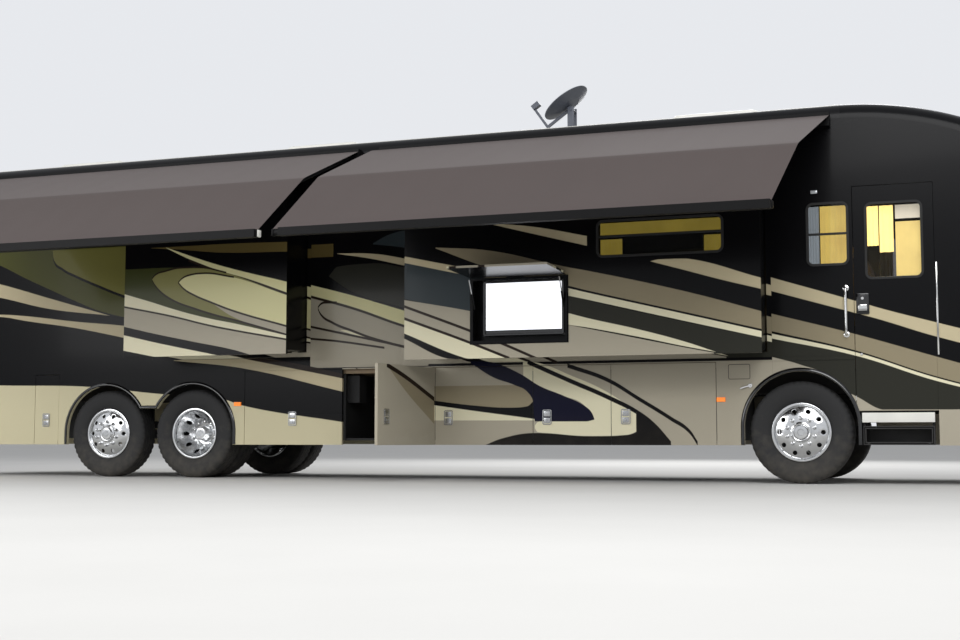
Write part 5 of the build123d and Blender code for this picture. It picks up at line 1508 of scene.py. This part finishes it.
@dataclass
class Windows:
    """Frames, rails, blinds and curtains of the side windows.

    Attributes:
        corner: the radius of a frame's corners.
        behind: how far behind the wall's face the cloths hang.
        openings: the windows.
    """

    corner: float = 0.06
    behind: float = 0.09
    # The kerb side's cloths glow with painted cabin lamplight; the street side's grey blinds do not.
    openings: tuple[Opening, ...] = (
        Opening("saloon_window", "coach", "side_wall_right", (0.105, 0.505), (2.215, 2.845),
                -WALL_Y, 2.53, (
            Hanging((0.11, 0.215), (2.235, 2.83), SALOON_SHADE, 4, 0.008),
            Hanging((0.225, 0.50), (2.235, 2.83), SALOON_CLOTH, 5, 0.005),
        )),
        Opening("entry_window", "entry_door", "entry_door", (0.68, 1.22), (2.06, 2.82), -WALL_Y, None, (
            Hanging((0.69, 0.80), (2.40, 2.805), BRIGHT_CLOTH, 3, 0.010),
            Hanging((0.81, 0.945), (2.33, 2.805), BRIGHT_CLOTH, 2, 0.008),
            Hanging((0.965, 1.21), (2.665, 2.805), PALE_CLOTH),
            Hanging((0.965, 1.21), (2.08, 2.635), WARM_CLOTH),
        )),
        Opening("driver_window", "coach", "side_wall_left", (0.64, 1.29), (2.06, 2.82), WALL_Y, None, (
            Hanging((0.65, 0.80), (2.08, 2.805), GREY_CLOTH, 4, 0.009),
            Hanging((1.13, 1.28), (2.08, 2.805), GREY_CLOTH, 4, 0.009),
        )),
        Opening("kerb_slide_window", "slide_front_right", "slide_front_right", (-1.92, -0.64),
                (2.31, 2.675), -SLIDE_Y, 2.515, (
            Hanging((-1.91, -0.65), (2.535, 2.665), DIM_CLOTH, 9, 0.004),
            Hanging((-1.91, -1.68), (2.325, 2.495), DIM_CLOTH, 3, 0.004),
            Hanging((-0.84, -0.65), (2.325, 2.495), DIM_CLOTH, 3, 0.004),
        )),
        Opening("street_slide_window_rear", "slide_left", "slide_left", (-4.70, -3.50), (2.31, 2.90),
                SLIDE_Y, 2.52, (
            Hanging((-4.69, -3.51), (2.54, 2.89), GREY_CLOTH, 8, 0.004),
        )),
        Opening("street_slide_window_front", "slide_left", "slide_left", (-1.92, -0.64), (2.31, 2.90),
                SLIDE_Y, 2.52, (
            Hanging((-1.91, -0.65), (2.54, 2.89), GREY_CLOTH, 9, 0.004),
        )),
    )

    def build(self, shop: Workshop) -> None:
        """Makes each window's frame, rail and hangings."""
        for window in self.openings:
            side = LEFT if window.face > 0 else RIGHT
            (x0, x1), sill, face = window.x, window.z[0], window.face
            loop = rounded_loop(window.x, window.z, face + side * 0.003, self.corner)
            frame = [carried(bar_section(0.026, 0.012), loop, (0, 1, 0), closed=True)]
            if window.rail:
                low = (x0 + 0.01, face - 0.008, window.rail - 0.012)
                frame.append(rounded_block(low, (x1 - 0.01, face + 0.006, window.rail + 0.012), 0.004))
            shop.piece(window.name + "_frame", frame, SEAL, window.body)
            low = (x0 + 0.05, face + side * 0.004 - 0.003, sill + 0.008)
            high = (x1 - 0.05, face + side * 0.004 + 0.003, sill + 0.014)
            shop.piece(window.name + "_drip", [rounded_block(low, high, 0.002)], CHROME, window.body)
            for n, cloth in enumerate(window.hangings):
                plane, name = face - side * self.behind, f"{window.name}_cloth_{n + 1}"
                shell, width = drape(cloth.x, cloth.z, plane, cloth.folds, cloth.depth)
                obj = shop.piece(name, [shell], cloth.finish, window.body, 80.0)
                cloth.z[1] - cloth.z[0]


@dataclass
class EntrySide:
    """What stands round the entry door: the handle, latch, trim, locks, lamp, covers and step grip.

    Attributes:
        face: where the wall's outer face is.
        handle_x: where the grab handle stands along the coach.
        handle_z: the heights of its two feet.
        stand_off: how far it stands out.
    """

    face: float = -WALL_Y
    handle_x: float = 0.475
    handle_z: Point = (1.50, 1.97)
    stand_off: float = 0.062

    def handle(self) -> list[Shell]:
        """The grab handle: a tube on two flanged feet, bent smoothly out to its stand-off."""
        (low, high), y, out = self.handle_z, self.face, self.face - self.stand_off
        line = [(y, low), (y - 0.035, low + 0.006), (out, low + 0.05)]
        line += [(out, high - 0.05), (y - 0.035, high - 0.006), (y, high)]
        path = smooth_line([(self.handle_x, a, b) for a, b in line], 60)
        foot = [(0.0, -0.009), (0.02, -0.009), (0.03, -0.005), (0.032, 0.0), (0.032, 0.002), (0.0, 0.002)]
        feet = [turned_profile(foot, 24).moved(self.handle_x, y, z) for z in (low, high)]
        return [carried(ring_section(0.0145, 14), path, (1, 0, 0))] + feet

    def door_gear(self, shop: Workshop) -> None:
        """Makes the latch, the paddle and the bolt lock, which ride on the door."""
        y, x = self.face, shop.box("entry_door")[0][0]
        plate = rounded_block((x + 0.018, y - 0.018, 1.70), (x + 0.145, y + 0.001, 1.915), 0.012, 5)
        paddle = rounded_block((x + 0.035, y - 0.026, 1.735), (x + 0.125, y - 0.014, 1.80), 0.006, 4)
        barrel = [(0.0, -0.028), (0.014, -0.028), (0.016, -0.024), (0.016, -0.016), (0.0, -0.016)]
        key = turned_profile(barrel, 20)
        shop.piece("door_escutcheon", [plate], BLACK_GLOSS, "entry_door")
        shop.piece("door_paddle", [paddle, key.moved(x + 0.08, y, 1.86)], CHROME, "entry_door")
        bolt = key.scaled(0.8, 0.7, 0.8).moved(x + 0.06, y + 0.006, 1.30)
        shop.piece("door_bolt_lock", [bolt], CHROME, "entry_door")

    def wall_gear(self, shop: Workshop) -> None:
        """Makes the trim, the lamp and the sill cover beside the door, and the lock and flap behind it."""
        y, x = self.face, shop.box("entry_door")[1][0]
        for name, low, high, radius, steps, finish in (
            ("pillar_trim", (x + 0.009, y - 0.009, 1.28), (x + 0.026, y + 0.001, 2.20), 0.004, 3, CHROME),
            ("porch_lamp", (0.145, y - 0.018, 2.95), (0.215, y + 0.001, 2.985), 0.008, 4, CLEAR_LENS),
            ("sill_cover", (0.605, y + 0.001, 0.618), (1.297, y + 0.010, 0.715), 0.004, 3, WHITE_COVER),
        ):
            shop.piece(name, [rounded_block(low, high, radius, steps)], finish)
        rose = [(0.0, -0.012), (0.019, -0.012), (0.023, -0.008), (0.024, 0.001), (0.0, 0.001)]
        lock = turned_profile(rose, 28).moved(-0.50, y, 1.0)
        line = [(-0.60, y - 0.016, 0.97), (-0.56, y - 0.018, 0.985), (-0.50, y - 0.012, 1.0)]
        lever = carried(bar_section(0.014, 0.010), line, (0, 1, 0))
        shop.piece("bay_lock", [lock, lever], CHROME)
        flap = rounded_loop((-0.72, -0.50), (1.07, 1.22), y - 0.0005, 0.015)
        edge = carried(bar_section(0.005, 0.003), flap, (0, 1, 0), closed=True)
        shop.piece("fuel_flap_edge", [edge], SEAL)

    def step_grip(self, shop: Workshop) -> None:
        """Makes the ribs on the entry step, which ride on it."""
        (x0, y0, _), (x1, y1, top) = shop.box("entry_step")
        ribs = [
            rounded_block((x - 0.004, y0 + 0.01, top - 0.001), (x + 0.004, y1 - 0.06, top + 0.002), 0.001)
            for x in np.linspace(x0 + 0.03, x1 - 0.03, 28)
        ]
        shop.piece("step_grip", ribs, SEAL, "entry_step")

    def build(self, shop: Workshop) -> None:
        """Makes each piece."""
        shop.piece("grab_handle", self.handle(), CHROME)
        self.door_gear(shop)
        self.wall_gear(shop)
        self.step_grip(shop)


@dataclass
class BayLatches:
    """Stainless paddle latches on the luggage doors: a framed plate with two flaps each.

    Attributes:
        set_in: how far from a door's rear end its latch is.
        z: how high the latches are.
        plate: how far their plates stand out.
        plate_half: half the width and half the height of a plate.
        flap_half: half the width of its flaps.
        gap: the gap between a door's end and its opening.
        middle: the doors whose latch is in the middle.
    """

    set_in: float = 0.16
    z: float = 0.69
    plate: float = 0.008
    plate_half: Point = (0.046, 0.076)
    flap_half: float = 0.036
    gap: float = 0.003
    middle: tuple[str, ...] = (
        "bay_door_right_1", "bay_door_right_tail", "bay_door_left_1", "bay_door_left_3",
    )

    def latch(self, x: float, side: int) -> list[Shell]:
        """One latch at a place along a shut door."""
        y, z, (wide, tall), flap = side * (WALL_Y + self.plate), self.z, self.plate_half, self.flap_half
        loop = rounded_loop((x - wide, x + wide), (z - tall, z + tall), y, 0.010)
        shells = [carried(bar_section(0.010, 0.008), loop, (0, 1, 0), closed=True)]
        y0, y1 = sorted((y - side * 0.003, y + side * 0.005))
        for low, high in ((-0.066, -0.006), (0.006, 0.066)):
            shells.append(rounded_block((x - flap, y0, z + low), (x + flap, y1, z + high), 0.003, 4))
        ring = turned_profile([(0.0, 0.008), (0.010, 0.008), (0.012, 0.005), (0.012, 0.0), (0.0, 0.0)], 18)
        shells.append(ring.scaled(y=side).moved(x, y, z - 0.036))
        return shells

    def build(self, shop: Workshop, frame: dict[str, Any]) -> None:
        """Makes the latch of every luggage door, turned out with the open one."""
        for node in frame["nodes"]:
            if not node.startswith("bay_door"):
                continue
            side = RIGHT if "right" in node else LEFT
            low, high = shop.box(node)
            x = (low[0] - self.gap, high[0] + self.gap)
            if node == OPEN_DOOR:
                x = OPEN_DOOR_X
            shells = self.latch(sum(x) / 2 if node in self.middle else x[0] + self.set_in, side)
            if node == OPEN_DOOR:
                pin = (OPEN_DOOR_X[1], side * WALL_Y, 0.0)
                shells = [shell.turned("z", radians(OPEN_DOOR_ANGLE), pin) for shell in shells]
            shop.piece("latch_" + node, shells, STEEL, node)


@dataclass
class ArchLips:
    """The gloss black lips round the wheel openings.

    Attributes:
        skirt: the height at which they end.
        bridge: the height of the bridge between the two rear openings.
        front: the front opening's place, height and radius.
        rear_z: the height of the rear openings' centres.
        rear_r: their radius.
    """

    skirt: float = 0.395
    bridge: float = 0.82
    front: Spot = (0.0, 0.575, 0.565)
    rear_z: float = 0.542
    rear_r: float = 0.558

    def arc(self, x: float, z: float, radius: float, start: float, end: float) -> Array:
        """Points of an arc in a side wall's plane, as pairs of X and Z."""
        angle = np.linspace(start, end, 56)
        return np.stack([x + radius * np.cos(angle), z + radius * np.sin(angle)], 1)

    def single(self) -> Array:
        """The line round the front opening, from the skirt over the wheel to the skirt."""
        x, z, radius = self.front
        ends = np.array([[x - radius, self.skirt], [x + radius, self.skirt]])
        return np.concatenate([ends[:1], self.arc(x, z, radius, pi, 0.0), ends[1:]])

    def twin(self) -> Array:
        """The line round the two rear openings, which a low bridge joins."""
        meet = asin((self.bridge - self.rear_z) / self.rear_r)
        first = self.arc(TAG_X, self.rear_z, self.rear_r, pi, meet)
        second = self.arc(DRIVE_X, self.rear_z, self.rear_r, pi - meet, 0.0)
        ends = np.array([[TAG_X - self.rear_r, self.skirt], [DRIVE_X + self.rear_r, self.skirt]])
        return np.concatenate([ends[:1], first, second, ends[1:]])

    def build(self, shop: Workshop) -> None:
        """Carries the lip's section along both lines on both sides."""
        section = [(0.001, -0.002), (0.001, 0.010), (0.006, 0.015)]
        section += [(0.018, 0.014), (0.036, 0.004), (0.038, -0.002)]
        for side, word in ((RIGHT, "right"), (LEFT, "left")):
            for name, line in (("front", self.single()), ("rear", self.twin())):
                path = np.stack([line[:, 0], np.full(len(line), side * WALL_Y), line[:, 1]], 1)
                lip = carried([(side * a, b) for a, b in section], path, (0, side, 0))
                shop.piece(f"arch_lip_{name}_{word}", [lip], BLACK_GLOSS, angle=50.0)


@dataclass
class RoofGear:
    """Three roof units under rounded shrouds with louvred ends, two vent lids and the dish's pedestal.

    Attributes:
        units: where the units stand.
        vents: where the vents stand.
        dish_x: where the pedestal stands.
        pivot_z: how high the dish's pivot is.
        roof: how high the roof is.
        tray: half the length and half the width of a unit's base tray.
        shroud: the same of its shroud.
        curb: the same of a vent's curb.
        lid: the same of its lid.
    """

    units: tuple[float, ...] = (-9.30, -5.90, -1.00)
    vents: tuple[float, ...] = (-7.60, -4.30)
    dish_x: float = -2.75
    pivot_z: float = 4.34
    roof: float = 3.888
    tray: Point = (0.52, 0.375)
    shroud: Point = (0.50, 0.355)
    curb: Point = (0.2, 0.2)
    lid: Point = (0.19, 0.19)

    def slab(self, x: float, half: Point, height: Point, radius: float, steps: int) -> Shell:
        """A rounded block in the centre plane, between two heights above the roof."""
        (long, wide), (bottom, top) = half, (self.roof + z for z in height)
        return rounded_block((x - long, -wide, bottom), (x + long, wide, top), radius, steps)

    def unit(self, x: float) -> list[Shell]:
        """One unit: a base tray, a rounded shroud, slats across its rear end and louvres down its sides."""
        z = self.roof
        shells = [self.slab(x, self.tray, (0.0, 0.055), 0.018, 4)]
        shells.append(self.slab(x, self.shroud, (0.04, 0.230), 0.085, 8))
        for height in np.arange(z + 0.07, z + 0.17, 0.018):
            slat = rounded_block((x - 0.512, -0.24, height), (x - 0.49, 0.24, height + 0.008), 0.003, 2)
            shells.append(slat)
        for inner, outer in ((-0.362, -0.345), (0.345, 0.362)):
            for start in np.arange(-0.30, 0.31, 0.05) + x:
                low, high = (start, inner, z + 0.08), (start + 0.02, outer, z + 0.15)
                shells.append(rounded_block(low, high, 0.004, 2))
        return shells

    def vent(self, x: float) -> list[Shell]:
        """One vent: a curb and a domed lid."""
        curb = self.slab(x, self.curb, (0.0, 0.05), 0.012, 3)
        return [curb, self.slab(x, self.lid, (0.03, 0.098), 0.045, 7)]

    def build(self, shop: Workshop) -> None:
        """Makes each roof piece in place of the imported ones."""
        for name, places, make in (("unit", self.units, self.unit), ("vent", self.vents, self.vent)):
            for n, x in enumerate(places):
                obj = shop.piece(f"roof_{name}_{n + 1}", make(x), WHITE_COVER)
                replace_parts(obj, "roof_units")
        foot = [(0.0, 0.0), (0.198, 0.0), (0.198, 0.02), (0.185, 0.05), (0.17, 0.105), (0.155, 0.121)]
        foot.append((0.0, 0.122))
        shells = [turned_profile(foot, 64, "z").moved(self.dish_x, 0.0, self.roof)]
        x0, x1, z0, z1 = self.dish_x - 0.04, self.dish_x + 0.04, self.roof + 0.10, self.pivot_z + 0.04
        for low, high in ((-0.070, -0.055), (0.055, 0.070)):
            shells.append(rounded_block((x0, low, z0), (x1, high, z1), 0.006, 3))
        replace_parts(shop.piece("dish_pedestal", shells, DISH_GREY), "roof_units")


@dataclass
class Mirrors:
    """The glasses in the mirror heads: a tall flat one over a small wide-angle one."""

    def build(self, shop: Workshop) -> None:
        """Makes both glasses of both mirrors."""
        low, high = shop.box("mirrors")
        for side, word in ((RIGHT, "right"), (LEFT, "left")):
            edge = high[1] if side == LEFT else low[1]
            inner, outer = sorted((edge - side * 0.195, edge - side * 0.025))
            back, foot, head = low[0], low[2], high[2]
            glass = [
                rounded_block((back - 0.003, inner, bottom), (back + 0.004, outer, top), 0.003, 4)
                for bottom, top in ((foot + 0.175, head - 0.03), (foot + 0.03, foot + 0.155))
            ]
            shop.piece(f"mirror_glass_{word}", glass, MIRROR_GLASS)


def cushion(
    low: Sequence[float], high: Sequence[float], seams: Sequence[float] = (), round_out: float = 0.5
) -> Shell:
    """A crowned cushion: a superellipsoid in a box, with sewn channels across it.

    Each coordinate is a signed power of the sphere's own, so that the sides stay full and the faces crown.
    A seam pulls the surface in by a narrow bell curve across the cushion's width.

    Args:
        low: the lowest corner.
        high: the highest corner.
        seams: where the channels run, as shares of the half width from -1 to 1.
        round_out: the power in height, 1 for an ellipsoid and less for a fuller pad.

    Returns:
        The closed surface.
    """
    low, high = np.asarray(low, float), np.asarray(high, float)
    up = np.linspace(-pi / 2, pi / 2, 33)[:, None]
    around = np.linspace(0, 2 * pi, 96, endpoint=False)[None, :]

    def power(wave: Array, exponent: float) -> Array:
        """The signed power of a sine or cosine."""
        return np.sign(wave) * np.abs(wave) ** exponent

    ring, plan = power(np.cos(up), round_out), 0.32
    along, across = ring * power(np.cos(around), plan), ring * power(np.sin(around), plan)
    unit = np.stack([along, across, power(np.sin(up), round_out) + 0 * around], 2)
    for seam in seams:
        unit[:, :, 2] *= 1 - 0.18 * np.exp(-(((unit[:, :, 1] - seam) / 0.035) ** 2))
    return sheet_of((low + high) / 2 + unit * (high - low) / 2, wrap_v=True)


@dataclass
class Seats:
    """The two cab seats: crowned cushions with sewn channels on moulded pedestals.

    Attributes:
        places: each seat's name and its distance from the centre plane.
        lean: how far the backs lean, in degrees.
        seams: where the channels run, as shares of the half width.
    """

    places: tuple[tuple[str, float], ...] = (("passenger", -0.43), ("driver", 0.64))
    lean: float = 14.0
    seams: Point = (-0.45, 0.45)

    def build(self, shop: Workshop) -> None:
        """Makes each seat's pads, headrest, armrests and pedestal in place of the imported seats."""
        for name, y in self.places:
            hip, lean = (0.70, y, 1.76), -radians(self.lean)
            seat = cushion((0.66, y - 0.245, 1.70), (1.19, y + 0.245, 1.83), self.seams)
            flat_back = cushion((-0.36, y - 0.24, -0.06), (0.36, y + 0.24, 0.06), self.seams)
            back = flat_back.turned("y", -pi / 2).moved(0.70, 0.0, 2.11).turned("y", lean, hip)
            head = cushion((0.635, y - 0.13, 2.40), (0.735, y + 0.13, 2.52), (), 0.6)
            head = head.turned("y", lean, hip)
            for part, shell in (("seat_pad", seat), ("back_pad", back), ("head_pad", head)):
                obj = shop.piece(f"{part}_{name}", [shell], HIDE, angle=70.0)
                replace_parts(obj, "cab_seats")
            rests = [
                rounded_block((0.74, middle - 0.028, 1.93), (1.08, middle + 0.028, 1.98), 0.022, 5)
                for middle in (y - 0.235, y + 0.235)
            ]
            base = [
                rounded_block((0.77, y - 0.155, 1.302), (1.07, y + 0.155, 1.60), 0.03, 4),
                rounded_block((0.72, y - 0.21, 1.60), (1.14, y + 0.21, 1.72), 0.03, 4),
            ]
            obj = shop.piece(f"seat_frame_{name}", rests + base, DASH)
            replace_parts(obj, "cab_seats")


@dataclass
class Studio:
    """The pale floor, the soft lights, the world and the camera at the photograph's viewpoint.

    Attributes:
        lens: the camera's lens, in millimetres.
        pitch: how far it looks up, in degrees.
        heading: how far it looks rearwards of straight across the coach, in degrees.
        stand: where it stands, in the coach's own metres.
        floor_size: how far the floor reaches each way.
        aim: the place that the lamps point at.
        lamps: each lamp's name, place, power and width.
    """

    lens: float = 52.0
    pitch: float = 4.95
    heading: float = 19.94
    stand: Spot = (1.75, -15.618, 0.443)
    floor_size: float = 240.0
    aim: Spot = (-3.5, 0.0, 1.8)
    lamps: tuple[tuple[str, Spot, float, float], ...] = (
        ("key", (2.0, -13.0, 10.0), 1350.0, 9.0),
        ("fill", (-12.0, -12.0, 6.0), 800.0, 8.0),
        ("back", (-3.0, 12.0, 9.0), 1100.0, 9.0),
    )

    def camera(self, shop: Workshop) -> None:
        """Adds the camera."""
        data = bpy.data.cameras.new("camera")
        data.lens, data.sensor_width = self.lens, 36.0
        data.clip_end = 200.0
        obj = bpy.data.objects.new("camera", data)
        obj.location = np.array(self.stand) + shop.offset()
        obj.rotation_euler = (radians(90 + self.pitch), 0.0, radians(self.heading))
        bpy.context.collection.objects.link(obj)
        bpy.context.scene.camera = obj

    def floor(self) -> None:
        """Adds a wide pale floor with faint clouds."""
        mesh = bpy.data.meshes.new("floor")
        size = self.floor_size
        rim = [(-size, -size, 0), (size, -size, 0), (size, size, 0), (-size, size, 0)]
        mesh.from_pydata(rim, [], [(0, 1, 2, 3)])
        obj = bpy.data.objects.new("floor", mesh)
        bpy.context.collection.objects.link(obj)
        graph = Graph("studio_floor")
        clouds = graph.noise(graph.place(), 0.7, 4.0)
        graph.set("Base Color", graph.mix(clouds, linear(206, 205, 202), linear(216, 215, 212)))
        graph.set("Roughness", 0.85)
        mesh.materials.append(graph.material)
        obj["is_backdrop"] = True

    def lights(self, shop: Workshop) -> None:
        """Adds three large soft lamps that point at the coach."""
        for name, place, energy, size in self.lamps:
            data = bpy.data.lights.new(name, "AREA")
            data.energy, data.size = energy, size
            obj = bpy.data.objects.new(name, data)
            obj.location = np.array(place) + shop.offset()
            ahead = np.array(self.aim) - np.array(place)
            rise = atan2(ahead[2], hypot(ahead[0], ahead[1]))
            obj.rotation_euler = (pi / 2 + rise, 0.0, atan2(-ahead[0], ahead[1]))
            bpy.context.collection.objects.link(obj)

    @staticmethod
    def sky() -> None:
        """Adds an even sky that the camera, mirrors and glass see as near white."""
        world = bpy.data.worlds.new("studio")
        world.use_nodes = True
        tree = world.node_tree
        tree.nodes.clear()
        path = tree.nodes.new("ShaderNodeLightPath")
        seen = path.outputs["Is Camera Ray"]
        for ray in ("Is Glossy Ray", "Is Transmission Ray"):
            add = tree.nodes.new("ShaderNodeMath")
            add.operation, add.use_clamp = "ADD", True
            tree.links.new(seen, add.inputs[0])
            tree.links.new(path.outputs[ray], add.inputs[1])
            seen = add.outputs[0]
        level = tree.nodes.new("ShaderNodeMapRange")
        level.inputs["To Min"].default_value, level.inputs["To Max"].default_value = 0.45, 0.85
        tree.links.new(seen, level.inputs["Value"])
        sky = tree.nodes.new("ShaderNodeBackground")
        sky.inputs["Color"].default_value = (0.94, 0.96, 1.0, 1.0)
        tree.links.new(level.outputs[0], sky.inputs["Strength"])
        out = tree.nodes.new("ShaderNodeOutputWorld")
        tree.links.new(sky.outputs[0], out.inputs["Surface"])
        bpy.context.scene.world = world

    def build(self, shop: Workshop) -> None:
        """Sets the stage."""
        self.camera(shop)
        self.floor()
        self.lights(shop)
        self.sky()
        bpy.context.scene.view_settings.view_transform = "Standard"


def corners(box: Any) -> list[list[float]]:
    """A box's two corners as plain lists."""
    return [[float(v) for v in corner] for corner in box]


def main() -> None:
    """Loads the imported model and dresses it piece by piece."""
    logging.basicConfig(level=logging.INFO, format="%(message)s")
    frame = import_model()
    before = corners(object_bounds())
    shop = Workshop()
    BodyShell().dress(shop, frame)
    Wheels().build(shop)
    Awnings().build(shop)
    TvBay().build(shop)
    Windows().build(shop)
    EntrySide().build(shop)
    BayLatches().build(shop, frame)
    ArchLips().build(shop)
    RoofGear().build(shop)
    Mirrors().build(shop)
    Seats().build(shop)
    Studio().build(shop)
    sizes = {"cad": before, "visual": corners(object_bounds())}


if __name__ == "__main__":
    main()
